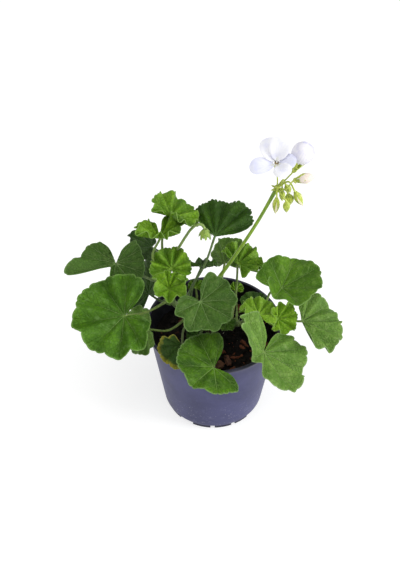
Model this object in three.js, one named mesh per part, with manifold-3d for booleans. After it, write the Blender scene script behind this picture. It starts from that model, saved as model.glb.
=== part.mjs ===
// A potted pelargonium: a nursery pot, its soil, and one plant with its leaves, flowers and buds.
// Millimetres, +Z up, and the plant's front faces -Y. Places are measured from the centre of the
// pot's foot. At the end the whole plant moves so that its origin lies under its own middle.
import * as THREE from 'three';
import { mergeVertices } from 'three/addons/utils/BufferGeometryUtils.js';
import Module from 'manifold-3d';

const wasm = await Module();
wasm.setup();

// Driving dimensions
const clearance = 0.3;
const rimRadius = 60;
const potHeight = 95;
const lipWidth = 1.4;
const lipHeight = 2.4;
const potWall = 1.3;
const footRadius = 43.4;
const footHeight = 5;
const footStep = 1.4;
const floorThickness = 1.6;
const soilHeight = 77;
const bladeThickness = 0.8;
const petioleRadius = 1.15;
const petalThickness = 0.5;
const pedicelRadius = 0.6;

// Facets
const potSegments = 48;
const soilSegments = 32;
const tubeSides = 6;

// The pot's inner radius at a height, between its wall's two faces
const wallRadius = (height) => {
  const base = footRadius + footStep;
  return base + (rimRadius - lipWidth - base) * (height / potHeight);
};
const innerRadius = (height) => wallRadius(height) - potWall;
const floorTop = footHeight + floorThickness;

const radians = THREE.MathUtils.degToRad;
const point = ([x, y, z]) => new THREE.Vector3(x, y, z);

// The unit vector that points to a compass direction (0 is +X, 90 is +Y) at a height above level
const direction = (compass, height = 0) => {
  const level = Math.cos(radians(height));
  return new THREE.Vector3(
    level * Math.cos(radians(compass)),
    level * Math.sin(radians(compass)),
    Math.sin(radians(height)),
  );
};

// A closed mesh as a solid, for joins and cuts
const solid = (geometry) => {
  geometry.deleteAttribute('normal');
  geometry.deleteAttribute('uv');
  const merged = mergeVertices(geometry, 1e-4);
  return new wasm.Manifold(new wasm.Mesh({
    numProp: 3,
    vertProperties: new Float32Array(merged.attributes.position.array),
    triVerts: new Uint32Array(merged.index.array),
  }));
};

// A solid back as a mesh
const meshOf = (shape) => {
  const { vertProperties, triVerts } = shape.getMesh();
  const geometry = new THREE.BufferGeometry();
  geometry.setAttribute('position', new THREE.BufferAttribute(new Float32Array(vertProperties), 3));
  geometry.setIndex(new THREE.BufferAttribute(new Uint32Array(triVerts), 1));
  geometry.computeVertexNormals();
  return geometry;
};

const join = (shapes) => shapes.reduce((whole, shape) => whole.add(shape));

const finishes = {
  pot: new THREE.MeshStandardMaterial({ color: 0x6f6f96, roughness: 0.55, metalness: 0 }),
  soil: new THREE.MeshStandardMaterial({ color: 0x2a1c16, roughness: 0.95, metalness: 0 }),
  bark: new THREE.MeshStandardMaterial({ color: 0x6b4433, roughness: 0.9, metalness: 0 }),
  stem: new THREE.MeshStandardMaterial({ color: 0x6f8f3a, roughness: 0.6, metalness: 0 }),
  leaf: new THREE.MeshStandardMaterial({ color: 0x3f7a28, roughness: 0.6, metalness: 0 }),
  youngLeaf: new THREE.MeshStandardMaterial({ color: 0x6fa832, roughness: 0.6, metalness: 0 }),
  bud: new THREE.MeshStandardMaterial({ color: 0x9dbb4a, roughness: 0.55, metalness: 0 }),
  petal: new THREE.MeshStandardMaterial({ color: 0xf4f2fb, roughness: 0.5, metalness: 0 }),
  stamen: new THREE.MeshStandardMaterial({ color: 0x6b5a2a, roughness: 0.6, metalness: 0 }),
};

const plant = new THREE.Group();

const addPart = (name, shape, finish) => {
  const mesh = new THREE.Mesh(meshOf(shape), finish);
  mesh.name = name;
  plant.add(mesh);
};

// A round stalk along a smooth curve through its points
const stalk = (points, radius, steps = 6) => {
  const section = new THREE.Shape().absarc(0, 0, radius, 0, 2 * Math.PI);
  return solid(new THREE.ExtrudeGeometry(section, {
    steps,
    curveSegments: tubeSides / 2,
    bevelEnabled: false,
    extrudePath: new THREE.CatmullRomCurve3(points.map(point)),
  }));
};

// A value read off a smooth curve through a short list, one entry for each lobe
const alongLobes = (values, place) => {
  const last = values.length - 1;
  const held = THREE.MathUtils.clamp(place, 0, last);
  const before = Math.min(Math.floor(held), last - 1);
  const share = held - before;
  const eased = share * share * (3 - 2 * share);
  return values[before] * (1 - eased) + values[before + 1] * eased;
};

// A thin blade that fans out from one point, where its stalk meets it: a leaf or a petal.
// It is a ball pressed flat. The ball's equator becomes the margin, and one seam opens as the notch.
// heading is the compass direction of the tip, tilt and toward say how far and which way the blade
// leans from level, notch is the open angle at the back, reach holds the lobes' lengths as parts of
// the radius, and lift their rise out of the blade's plane, both anticlockwise from the notch.
// A single lift serves every lobe.
const rings = [0, 0.5, 0.94, 1];
const roundLobes = [0.8, 0.9, 1, 1, 1, 0.9, 0.8];
const blade = ({
  at, heading, tilt, toward, radius, notch, lift, reach = roundLobes,
  curl = 0, dip = 0.08, pleat = 0, corner = 0.45, back = 0.1, thickness = bladeThickness, perLobe = 2,
}) => {
  const lobes = reach.length;
  const lifts = Array.isArray(lift) ? lift : reach.map(() => lift);
  const columns = lobes * perLobe + 2;
  const rows = 2 * (rings.length - 1);
  const normal = direction(toward, 90 - tilt);
  const tip = direction(heading);
  tip.z = -(tip.x * normal.x + tip.y * normal.y) / normal.z;
  tip.normalize();
  const side = new THREE.Vector3().crossVectors(normal, tip);
  const centre = point(at);
  const open = 180 - notch / 2;

  const place = (column, row) => {
    const inNotch = column === 0 || column === columns;
    const along = inNotch ? 0 : (column - 1) / perLobe;
    const angle = radians(inNotch ? 180 : -open + 2 * open * (along / lobes));
    const valley = (1 - Math.cos(2 * Math.PI * (along - 0.5))) / 2;
    const rounding = Math.min(1, corner + 1.1 * Math.min(along, lobes - along));
    const length = inNotch ? back : alongLobes(reach, along - 0.5) * (1 - dip * valley) * rounding;
    const ring = Math.min(row, rows - row);
    const out = rings[ring];
    const fold = pleat * Math.cos(2 * Math.PI * (along - 0.5)) * Math.min(1, 2.5 * out);
    const rise = inNotch
      ? (lifts[0] + lifts[lobes - 1]) / 2
      : alongLobes(lifts, along - 0.5) + curl * (1 - out) - fold;
    const outward = tip.clone().multiplyScalar(Math.cos(angle)).addScaledVector(side, Math.sin(angle));
    const face = normal.clone().multiplyScalar(Math.cos(radians(rise)))
      .addScaledVector(outward, -Math.sin(radians(rise)));
    const half = row === rows / 2 ? 0 : Math.sign(rows / 2 - row) * thickness / 2;
    return centre.clone()
      .addScaledVector(outward, radius * length * out * Math.cos(radians(rise)))
      .addScaledVector(normal, radius * length * out * Math.sin(radians(rise)))
      .addScaledVector(row === 0 || row === rows ? normal : face, half);
  };

  const ball = new THREE.SphereGeometry(1, columns, rows);
  const vertices = ball.attributes.position;
  for (let row = 0; row <= rows; row += 1) {
    for (let column = 0; column <= columns; column += 1) {
      const { x, y, z } = place(column, row);
      vertices.setXYZ(row * (columns + 1) + column, x, y, z);
    }
  }
  return solid(ball);
};

// The pot: a thin moulded wall with a turned lip, a floor raised on a notched foot, and drain slots

const potProfile = () => {
  const lipBottom = potHeight - lipHeight;
  return [
    [0, footHeight],
    [footRadius - 3, footHeight],
    [footRadius - 2, 0],
    [footRadius, 0],
    [footRadius, footHeight],
    [wallRadius(footHeight), footHeight + 1],
    [wallRadius(lipBottom), lipBottom],
    [rimRadius - 0.2, lipBottom],
    [rimRadius, potHeight - 0.3],
    [rimRadius - 0.4, potHeight],
    [innerRadius(potHeight), potHeight],
    [innerRadius(floorTop), floorTop],
    [0, floorTop],
  ].map(([radius, height]) => new THREE.Vector2(radius, height));
};

// A block laid along a compass direction, for the openings in the foot and the floor
const radialBlock = (compass, inner, outer, width, bottom, top) => {
  const box = new THREE.BoxGeometry(outer - inner, width, top - bottom);
  box.translate((inner + outer) / 2, 0, (bottom + top) / 2);
  box.rotateZ(radians(compass));
  return solid(box);
};

const footPeriod = 90;
const wideNotch = { from: -125, width: 14, height: 4.7 };
const narrowNotches = { offsets: [34, 60], width: 4, height: 4.7 };
const drain = { count: 6, inner: 22, outer: 34, width: 3.5 };

const buildPot = () => {
  const shell = solid(new THREE.LatheGeometry(potProfile(), potSegments).rotateX(Math.PI / 2));
  const cuts = [];
  const cutFoot = (compass, width, height) => {
    cuts.push(radialBlock(compass, footRadius - 6, footRadius + 4, width, -1, height));
  };
  for (let start = wideNotch.from; start < wideNotch.from + 360; start += footPeriod) {
    cutFoot(start, wideNotch.width, wideNotch.height);
    narrowNotches.offsets.forEach((offset) => {
      cutFoot(start + offset, narrowNotches.width, narrowNotches.height);
    });
  }
  for (let index = 0; index < drain.count; index += 1) {
    const compass = (360 / drain.count) * index;
    cuts.push(radialBlock(compass, drain.inner, drain.outer, drain.width, 1, floorTop + 1));
  }
  return shell.subtract(join(cuts));
};

// The plant's woody shoots: each a list of points from the root collar outwards, and its radius

const collar = [-3, 4, 62];
const shoots = {
  left: {
    points: [collar, [-5, 5, 80], [-20, 7, 96], [-36, 8, 112], [-41, 9, 128], [-42, 11, 143]],
    radius: 3,
  },
  centre: { points: [collar, [-2, 5, 82], [1, 8, 108], [3, 12, 139]], radius: 2.8 },
  right: { points: [collar, [0, 4, 80], [16, 1, 90], [34, -3, 100], [42, -6, 110]], radius: 2.7 },
};
const ballAt = (centre, radius) => solid(new THREE.SphereGeometry(radius, 8, 4).translate(...centre));
const growShoots = (extra) => join(Object.values(shoots).map(({ points, radius }) => (
  stalk(points, radius + extra, 10).add(ballAt(points[points.length - 1], radius + extra))
)));
const shootSpace = growShoots(clearance);

// A part that springs from a shoot, cut back to clear it
const offShoot = (shape) => {
  const pieces = shape.subtract(shootSpace).decompose();
  return pieces.reduce((largest, piece) => (piece.volume() > largest.volume() ? piece : largest));
};

// The soil fills the pot, and its top is uneven

const buildSoil = () => {
  const gap = clearance + 0.1;
  const crown = (radius) => soilHeight - 2.2 * (radius / 50) ** 2;
  const edge = innerRadius(soilHeight - 4) - gap;
  const profile = [
    [0, floorTop + gap],
    [innerRadius(floorTop) - gap, floorTop + gap],
    [edge, crown(edge)],
    [edge * 0.8, crown(edge * 0.8)],
    [edge * 0.55, crown(edge * 0.55)],
    [edge * 0.28, crown(edge * 0.28)],
    [0, crown(0)],
  ].map(([radius, height]) => new THREE.Vector2(radius, height));
  const heap = new THREE.LatheGeometry(profile, soilSegments).rotateX(Math.PI / 2);
  const vertices = heap.attributes.position;
  for (let index = 0; index < vertices.count; index += 1) {
    const x = vertices.getX(index);
    const y = vertices.getY(index);
    const z = vertices.getZ(index);
    const inside = z > soilHeight - 4 && Math.hypot(x, y) < edge - 1;
    vertices.setZ(index, inside ? z + Math.sin(x / 5.1) * Math.cos(y / 6.3) : z);
  }
  return solid(heap).subtract(shootSpace);
};

// Bark chips that lie on the soil: where each lies, its size, its turn and its lean

const barkChips = [
  { at: [3, -40], size: [13, 6, 3.2], turn: 50, lean: 8 },
  { at: [-8, -36], size: [10, 5, 3], turn: -35, lean: -10 },
  { at: [12, -33], size: [11, 4.5, 3.4], turn: 105, lean: 10 },
  { at: [-36, -22], size: [10, 6, 3], turn: 20, lean: 6 },
  { at: [-17, 26], size: [12, 6, 3.4], turn: 15, lean: 6 },
];
const chipRest = 2.9;

const buildChip = ({ at: [x, y], size: [length, width, height], turn, lean }) => {
  const chip = new THREE.DodecahedronGeometry(0.62);
  chip.scale(length, width, height);
  chip.rotateX(radians(lean));
  chip.rotateZ(radians(turn));
  chip.translate(x, y, soilHeight + chipRest);
  return solid(chip);
};

// The leaves. A petiole starts on a shoot at from, passes through by, and meets the blade at its at.
// reach and lift are set by eye for each leaf, in steps of a tenth of the radius and of ten degrees.

const leaves = [
  {
    name: 'leaf_left_large',
    from: [-38, 7, 117], by: [[-58, -14, 122]], at: [-76, -29, 132],
    heading: 190, tilt: 20, toward: -125, radius: 42, notch: 50,
    reach: [0.8, 0.9, 1, 1.1, 1.1, 1, 0.9, 0.9, 0.8],
    lift: [20, 10, 10, 20, 20, 10, 0, 0, 10],
  },
  {
    name: 'leaf_left_upper',
    from: [-41, 10, 130], by: [[-62, 14, 138]], at: [-86, 26, 142],
    heading: -90, tilt: 5, toward: 180, radius: 38, notch: 50,
    reach: [0.8, 0.9, 1.1, 0.4, 0.7, 0.9, 0.8, 0.7, 0.8],
    lift: [30, 20, 10, -10, -30, -20, 0, 10, 20],
  },
  {
    name: 'leaf_left_rear',
    from: [-42, 11, 137], by: [[-46, 32, 142]], at: [-56, 58, 133],
    heading: -150, tilt: 30, toward: 10, radius: 24, notch: 70, lift: 0,
  },
  {
    name: 'leaf_left_shaded',
    from: [-36, 9, 110], by: [[-48, 16, 106]], at: [-59, 22, 108],
    heading: 105, tilt: 55, toward: -165, radius: 33, notch: 60, lift: 10,
    reach: [0.7, 0.9, 1, 1, 0.9, 0.7, 0.6],
  },
  {
    name: 'leaf_left_low',
    from: [-22, 6, 97], by: [[-40, -10, 95]], at: [-57, -14, 100],
    heading: 155, tilt: 60, toward: -145, radius: 26, notch: 60, lift: 20,
  },
  {
    name: 'leaf_front_yellowed',
    from: [-14, 5, 91], by: [[-26, -16, 104]], at: [-28, -38, 106],
    heading: 170, tilt: 75, toward: -125, radius: 20, notch: 60, lift: 40,
  },
  {
    name: 'leaf_front',
    from: [-2, 3, 83], by: [[0, -32, 104]], at: [-1, -67, 110],
    heading: -165, tilt: 5, toward: 90, radius: 33, notch: 80,
    reach: [0.8, 0.9, 1, 1, 1, 0.9, 0.9],
    lift: [30, 20, 20, 20, 10, 0, -10],
  },
  {
    name: 'leaf_centre',
    from: [0, 8, 106], by: [[-8, 2, 130]], at: [-12, -22, 142],
    heading: -50, tilt: 25, toward: -55, radius: 31, notch: 60,
    reach: [0.6, 0.9, 1, 1, 1, 1, 0.9, 0.8],
    lift: [10, 10, 10, 10, 20, 20, 20, 20],
  },
  {
    name: 'leaf_right_front',
    from: [22, 0, 94], by: [[36, -28, 106]], at: [41, -51, 116],
    heading: -90, tilt: 40, toward: 5, radius: 44, notch: 50,
    reach: [0.6, 0.9, 1.1, 1.1, 1, 0.9, 0.8, 0.8],
    lift: [30, 20, 20, 10, 10, 20, 30, 20],
  },
  {
    name: 'leaf_right_far',
    from: [40, -5, 107], by: [[58, -9, 106]], at: [76, -14, 112],
    heading: 20, tilt: 40, toward: -5, radius: 36, notch: 150,
    reach: [1, 1, 1, 1, 1, 0.9, 0.6],
    lift: [20, 20, 30, 30, 20, 20, 20],
  },
  {
    name: 'leaf_right_upper',
    from: [42, -5, 110], by: [[49, 6, 126]], at: [56, -3, 140],
    heading: 0, tilt: 5, toward: 5, radius: 34, notch: 40,
    reach: [0.6, 0.9, 0.9, 1.1, 1, 0.9, 0.8, 0.6],
    lift: [40, 20, 20, 30, 30, 20, 20, 10],
  },
  {
    name: 'leaf_right_young_a', young: true,
    from: [34, -3, 100], by: [[35, -9, 108]], at: [38, -14, 118],
    heading: 100, tilt: 15, toward: 85, radius: 18, notch: 70, pleat: 14,
    reach: [0.9, 0.8, 0.9, 1, 1, 0.9, 1],
    lift: [-30, 10, 30, 30, 30, 30, 20],
  },
  {
    name: 'leaf_right_young_b', young: true,
    from: [42, -7, 108], by: [[47, -10, 110]], at: [55, -12, 114],
    heading: 25, tilt: 65, toward: -55, radius: 17, notch: 50, pleat: 14, lift: 40,
  },
  {
    name: 'leaf_top_centre',
    from: [-28, 8, 105], by: [[-19, 8, 132], [-8, 9, 157]], at: [0, 16, 182],
    heading: 70, tilt: 25, toward: -95, radius: 33, notch: 236, lift: 0,
    reach: [0.9, 1.1, 1, 1, 0.9],
  },
  {
    name: 'leaf_top_left', young: true,
    from: [-42, 11, 142], by: [[-45, 30, 165]], at: [-37, 26, 196],
    heading: 60, tilt: 25, toward: 0, radius: 25, notch: 70, pleat: 12, dip: 0.14,
    reach: [0.9, 0.9, 1, 1.1, 1, 0.9, 0.7, 0.6],
    lift: [20, 20, 20, 10, 10, 20, 0, -10],
  },
  {
    name: 'leaf_mid_left', young: true,
    from: [-43, 9, 136], by: [[-53, 14, 160]], at: [-46, 14, 182],
    heading: -85, tilt: 5, toward: 100, radius: 25, notch: 40, pleat: 12, dip: 0.14,
    reach: [0.6, 0.8, 1.1, 1, 1.1, 0.9, 0.8, 0.6],
    lift: [50, 40, 40, 30, 20, 30, 40, 50],
  },
  {
    name: 'leaf_young_upper', young: true,
    from: [-41, 8, 137], by: [[-39, 5, 146]], at: [-37, 5, 155],
    heading: 90, tilt: 10, toward: -90, radius: 18, notch: 90, pleat: 14,
    reach: [0.8, 0.9, 0.9, 1, 1, 1, 1, 0.9],
    lift: [10, 10, 20, 20, 20, 20, 20, 20],
  },
  {
    name: 'leaf_young_lower', young: true,
    from: [-40, 6, 128], by: [[-40, -1, 136]], at: [-39, -4, 143],
    heading: -90, tilt: 8, toward: -5, radius: 20, notch: 30, pleat: 14, lift: 30,
    reach: [0.7, 0.8, 0.9, 1, 1, 1, 0.9, 0.8],
  },
  {
    name: 'leaf_rear_young', young: true,
    from: [15, 3, 90], by: [[20, 26, 108]], at: [21, 33, 135],
    heading: 40, tilt: 15, toward: 15, radius: 23, notch: 110, pleat: 12, lift: 20,
    reach: [0.9, 0.9, 1, 1, 1.1, 1, 0.9, 0.7],
  },
  {
    name: 'leaf_rear',
    from: [2, 11, 122], by: [[6, 28, 116]], at: [10, 52, 119],
    heading: 100, tilt: 70, toward: -130, radius: 24, notch: 120, lift: -20,
    reach: [0.9, 0.9, 1.1, 1, 1, 0.9, 0.9],
  },
  {
    name: 'leaf_edge_on',
    from: [-19, 7, 96], by: [[-20, 12, 120]], at: [-11, 21, 143],
    heading: 40, tilt: 25, toward: 100, radius: 14, notch: 60, pleat: 8, lift: 10,
  },
  {
    name: 'leaf_tiny_rear', young: true,
    from: [20, 1, 93], by: [[21, 22, 92]], at: [20, 35, 100],
    heading: 70, tilt: 25, toward: -95, radius: 9, notch: 180, pleat: 10, lift: 0,
  },
  {
    name: 'leaf_low_rear',
    from: [30, -2, 97], by: [[34, 14, 92]], at: [36, 21, 98],
    heading: 90, tilt: 5, toward: 115, radius: 14, notch: 60, lift: 10,
  },
  {
    name: 'leaf_low_centre',
    from: [-8, 4, 86], by: [[-11, -4, 87]], at: [-15, -11, 88],
    heading: -155, tilt: 5, toward: 90, radius: 10, notch: 60, lift: 10,
  },
  {
    name: 'leaf_low_right',
    from: [10, 2, 87], by: [[11, 0, 90]], at: [11, 1, 94],
    heading: -100, tilt: 10, toward: -100, radius: 11, notch: 90, lift: 10,
  },
  {
    name: 'leaf_small_centre', young: true,
    from: [-16, 8, 95], by: [[-15, 14, 108]], at: [-16, 16, 122],
    heading: 80, tilt: 20, toward: -90, radius: 9, notch: 120, pleat: 8, lift: 0,
  },
];

const buildLeaf = (leaf) => offShoot(
  stalk([leaf.from, ...leaf.by, leaf.at], petioleRadius).add(blade(leaf)),
);

// A turned body, such as a bud or a calyx, from its radii at distances along a line

const turned = (profile, from, to, sides = 8) => {
  const along = new THREE.Vector3().subVectors(point(to), point(from)).normalize();
  const outline = profile.map(([distance, radius]) => new THREE.Vector2(radius, distance));
  const body = new THREE.LatheGeometry(outline, sides);
  body.applyQuaternion(new THREE.Quaternion().setFromUnitVectors(new THREE.Vector3(0, 1, 0), along));
  body.translate(...from);
  return solid(body);
};

// The flower stalk: straight, with a swollen head that carries small pointed bracts

const umbel = [50, 20, 230];
const flowerStalk = {
  from: [3, 12, 136], by: [[22, 15, 170], [35.5, 17, 197]], radius: 1.7, headRadius: 2.8,
};
const bracts = { count: 5, start: 24, length: 4.5, radius: 1.2, droop: 35 };

const growFlowerStalk = (extra) => {
  const stem = stalk([flowerStalk.from, ...flowerStalk.by, umbel], flowerStalk.radius + extra, 4);
  return stem.add(ballAt(umbel, flowerStalk.headRadius + extra));
};

const buildFlowerStalk = () => {
  const pointed = [];
  for (let index = 0; index < bracts.count; index += 1) {
    const way = direction((360 / bracts.count) * index + bracts.start, -bracts.droop);
    const tip = point(umbel).addScaledVector(way, flowerStalk.headRadius + bracts.length);
    pointed.push(turned([[1, 0], [1.5, bracts.radius], [bracts.length + 2, 0]], umbel, tip.toArray(), 5));
  }
  return offShoot(join([growFlowerStalk(0), ...pointed]));
};

const umbelSpace = growFlowerStalk(clearance);

// A part that springs from the flower stalk's head, cut back to clear it
const offUmbel = (shape) => {
  const pieces = shape.subtract(umbelSpace).decompose();
  return pieces.reduce((largest, piece) => (piece.volume() > largest.volume() ? piece : largest));
};

const pedicel = (points) => stalk([umbel, ...points], pedicelRadius, 5);

// A calyx: a green cup on its pedicel, with the flower's base at its open end

const buildCalyx = ({ by, base, top, radius }) => {
  const length = point(top).distanceTo(point(base));
  const profile = [[0, 0], [0.2, pedicelRadius], [length * 0.7, radius], [length, radius * 0.8], [length, 0]];
  const inside = point(base).lerp(point(top), 0.2).toArray();
  return offUmbel(pedicel([...by, base, inside]).add(turned(profile, base, top)));
};

// The open flower: five petals round a small cluster of stamens

const openFlower = { centre: [47.5, 12, 261], tilt: 28, toward: -115, hub: 1.9 };
const openPetals = [
  { heading: 186, radius: 20, lift: 20, raised: 0 },
  { heading: 107, radius: 20, lift: 20, raised: 1.2 },
  { heading: 68, radius: 19, lift: 28, raised: 2.3 },
  { heading: -4, radius: 17, lift: 27, raised: 0 },
  { heading: -68, radius: 17, lift: 29, raised: 1.2 },
];
const openCalyx = { by: [[49.5, 17, 241]], base: [48, 14, 251], top: [47.6, 12.6, 258.5], radius: 1.5 };
const petalReach = [0.25, 0.54, 0.87, 1, 0.87, 0.54, 0.25];

const buildOpenPetal = ({ heading, radius, lift, raised }) => {
  const { centre, tilt, toward, hub } = openFlower;
  const away = direction(heading);
  const normal = direction(toward, 90 - tilt);
  away.addScaledVector(normal, -away.dot(normal)).normalize();
  const at = point(centre).addScaledVector(away, hub).addScaledVector(normal, raised);
  return blade({
    at: at.toArray(), heading, tilt, toward, radius, notch: 200, reach: petalReach, back: 0.03,
    lift, curl: 8, dip: 0, corner: 1, thickness: petalThickness, perLobe: 1,
  });
};

const stamens = { count: 5, length: 3.6, radius: 0.35, steepness: 68, tip: 0.7 };

const buildStamens = () => {
  const { centre, tilt, toward } = openFlower;
  const normal = direction(toward, 90 - tilt);
  const start = point(centre).addScaledVector(normal, 1.4);
  const top = start.clone().addScaledVector(normal, 3);
  const pieces = [turned([[0, 0], [0.1, 0.8], [2.6, 0.6], [3, 0]], start.toArray(), top.toArray(), 6)];
  for (let index = 0; index < stamens.count; index += 1) {
    const way = direction((360 / stamens.count) * index, stamens.steepness);
    const from = start.clone().addScaledVector(normal, 1);
    const to = from.clone().addScaledVector(way, stamens.length);
    const { length, radius, tip } = stamens;
    const profile = [[0, 0], [0.1, radius], [length - 1.4, radius], [length - 0.7, tip], [length, 0]];
    pieces.push(turned(profile, from.toArray(), to.toArray(), 5));
  }
  return join(pieces);
};

// The half-open flower: three broad petals that still curve in over its middle

const halfOpen = { at: [65.2, 16.4, 258], tilt: 25, toward: 0, radius: 18, hub: 0.8 };
const halfCalyx = { by: [[55, 17, 239]], base: [61, 17, 247.5], top: [64.8, 16.5, 257], radius: 2.6 };
const halfPetalHeadings = [30, 150, 270];
const cupReach = [0.9, 0.98, 1, 0.98, 0.9];

const buildHalfPetal = (heading) => {
  const { at, tilt, toward, radius, hub } = halfOpen;
  const start = point(at).addScaledVector(direction(heading), hub);
  return blade({
    at: start.toArray(), heading, tilt, toward, radius, notch: 243, reach: cupReach, back: 0.01,
    lift: 68, curl: -75, dip: 0, corner: 1, thickness: petalThickness, perLobe: 1,
  });
};

// The opening bud: furled petals in a green calyx

const openingBud = { base: [61.5, 12, 243], waist: [66, 11.5, 244.6], tip: [77.5, 10, 248.5] };

const buildOpeningPetals = () => {
  const { waist, tip } = openingBud;
  const length = point(tip).distanceTo(point(waist));
  const profile = [[0, 0], [0.3, 2.2], [length * 0.35, 3.9], [length * 0.7, 3.6], [length, 0]];
  return turned(profile, waist, tip, 10);
};

const openingCalyx = { by: [[56, 13.5, 233]], base: openingBud.base, top: [65.6, 11.6, 244.5], radius: 2.4 };

// The green buds hang round the head, each on a pedicel that arches over

const buds = [
  { by: [[49.5, 15, 230]], top: [49.4, 12.5, 226], bottom: [49.2, 12, 209], radius: 2.9 },
  { by: [[53, 12, 228.5]], top: [57, 7.5, 226], bottom: [57.6, 7, 214.5], radius: 2.7 },
  { by: [[59, 20, 236]], top: [64, 15, 230], bottom: [71.5, 14.5, 215.5], radius: 3.3 },
  { by: [[53.5, 24.5, 231]], top: [55, 27, 222], bottom: [55.8, 28, 209.5], radius: 2.3 },
  { by: [[57, 18.5, 228.5]], top: [59, 17, 226], bottom: [61.6, 16.5, 215], radius: 3.4 },
  { by: [[55, 24, 235]], top: [57.5, 25.5, 228.5], bottom: [62, 28, 218.5], radius: 2.5 },
];

const buildBud = ({ by, top, bottom, radius }) => {
  const length = point(top).distanceTo(point(bottom));
  const profile = [
    [0, 0], [0.3, 1], [length * 0.35, radius * 0.9], [length * 0.62, radius], [length * 0.86, radius * 0.6],
    [length, 0],
  ];
  const inside = point(top).lerp(point(bottom), 0.15).toArray();
  return offUmbel(pedicel([...by, top, inside]).add(turned(profile, top, bottom)));
};

// The young flower stalk hooks over, and its tight buds nod at the end

const youngStalk = {
  points: [
    [-41, 12, 140], [-37, 25, 150], [-33, 25, 158], [-31, 21, 164], [-25, 20, 177], [-20, 20, 186],
    [-15, 20, 191], [-11, 20, 191], [-8.5, 20, 187],
  ],
  radius: 1.2,
};
const youngBuds = { centre: [-8, 20, 180], length: 8, radius: 2.1, count: 5, spread: 32 };

const buildYoungBuds = () => {
  const { centre, length, radius, count, spread } = youngBuds;
  const from = point(centre).add(new THREE.Vector3(0, 0, length * 0.55));
  const profile = [[0, 0], [0.3, 1.2], [length * 0.55, radius], [length + 1, 0]];
  const pieces = [turned(profile, from.toArray(), centre, 6)];
  for (let index = 0; index < count; index += 1) {
    const to = from.clone().addScaledVector(direction((360 / count) * index, spread - 90), length);
    pieces.push(turned(profile, from.toArray(), to.toArray(), 6));
  }
  return join(pieces);
};

const buildParts = () => {
  addPart('pot', buildPot(), finishes.pot);
  addPart('soil', buildSoil(), finishes.soil);
  barkChips.forEach((chip, index) => addPart(`bark_chip_${index + 1}`, buildChip(chip), finishes.bark));
  addPart('main_stem', growShoots(0), finishes.stem);
  leaves.forEach((leaf) => {
    addPart(leaf.name, buildLeaf(leaf), leaf.young ? finishes.youngLeaf : finishes.leaf);
  });
  addPart('flower_stalk', buildFlowerStalk(), finishes.stem);
  addPart('open_flower_calyx', buildCalyx(openCalyx), finishes.bud);
  openPetals.forEach((petal, index) => {
    addPart(`open_flower_petal_${index + 1}`, buildOpenPetal(petal), finishes.petal);
  });
  addPart('open_flower_stamens', buildStamens(), finishes.stamen);
  addPart('half_open_calyx', buildCalyx(halfCalyx), finishes.bud);
  halfPetalHeadings.forEach((heading, index) => {
    addPart(`half_open_petal_${index + 1}`, buildHalfPetal(heading), finishes.petal);
  });
  addPart('opening_bud_calyx', buildCalyx(openingCalyx), finishes.bud);
  addPart('opening_bud_petals', buildOpeningPetals(), finishes.petal);
  buds.forEach((bud, index) => addPart(`green_bud_${index + 1}`, buildBud(bud), finishes.bud));
  addPart('young_flower_stalk', offShoot(stalk(youngStalk.points, youngStalk.radius, 16)), finishes.stem);
  addPart('young_bud_cluster', buildYoungBuds(), finishes.bud);
};

// The origin moves under the middle of the plant's box, level with the pot's foot
const centreOrigin = () => {
  const middle = new THREE.Box3().setFromObject(plant).getCenter(new THREE.Vector3());
  plant.position.set(-middle.x, -middle.y, 0);
};

buildParts();
centreOrigin();

export default plant;
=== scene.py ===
"""A potted pelargonium, finished for a close look from every side.

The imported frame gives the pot, the soil, the stems, the leaves and the flowers at their real size.
Each class below makes the fine surface of one of them and dresses it. Places are in millimetres from
the centre of the pot's foot, as the plant was laid out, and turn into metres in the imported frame.
"""

from __future__ import annotations

import logging
import math
from collections.abc import Callable, Sequence
from dataclasses import dataclass
from enum import Enum

import bpy
import numpy as np
from mathutils import Matrix, Vector


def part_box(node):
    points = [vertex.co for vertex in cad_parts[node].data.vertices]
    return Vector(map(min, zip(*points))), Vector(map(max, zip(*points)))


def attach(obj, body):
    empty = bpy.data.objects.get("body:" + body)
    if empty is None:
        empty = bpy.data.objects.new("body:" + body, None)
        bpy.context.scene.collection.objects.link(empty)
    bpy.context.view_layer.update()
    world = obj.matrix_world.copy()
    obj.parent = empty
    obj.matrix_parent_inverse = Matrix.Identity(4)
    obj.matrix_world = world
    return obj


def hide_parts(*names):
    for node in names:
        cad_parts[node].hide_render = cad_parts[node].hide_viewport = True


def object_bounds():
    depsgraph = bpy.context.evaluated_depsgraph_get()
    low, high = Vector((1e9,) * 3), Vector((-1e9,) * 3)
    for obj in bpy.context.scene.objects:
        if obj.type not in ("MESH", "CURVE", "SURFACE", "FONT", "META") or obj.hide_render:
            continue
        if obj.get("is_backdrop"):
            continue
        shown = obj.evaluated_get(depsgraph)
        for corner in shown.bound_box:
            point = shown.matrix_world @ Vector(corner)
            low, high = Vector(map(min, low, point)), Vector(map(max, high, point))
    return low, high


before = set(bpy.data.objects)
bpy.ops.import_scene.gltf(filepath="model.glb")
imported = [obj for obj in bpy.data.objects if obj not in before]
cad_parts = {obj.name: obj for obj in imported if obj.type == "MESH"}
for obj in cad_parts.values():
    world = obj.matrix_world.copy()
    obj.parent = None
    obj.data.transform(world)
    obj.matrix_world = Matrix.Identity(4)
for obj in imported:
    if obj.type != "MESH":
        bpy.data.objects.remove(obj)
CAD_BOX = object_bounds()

LOG = logging.getLogger("pelargonium")
MM = 0.001
BODY = "root"

Place = tuple[float, float, float]
Colour = tuple[float, float, float]
Form = Callable[[np.ndarray, np.ndarray], np.ndarray]


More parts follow.
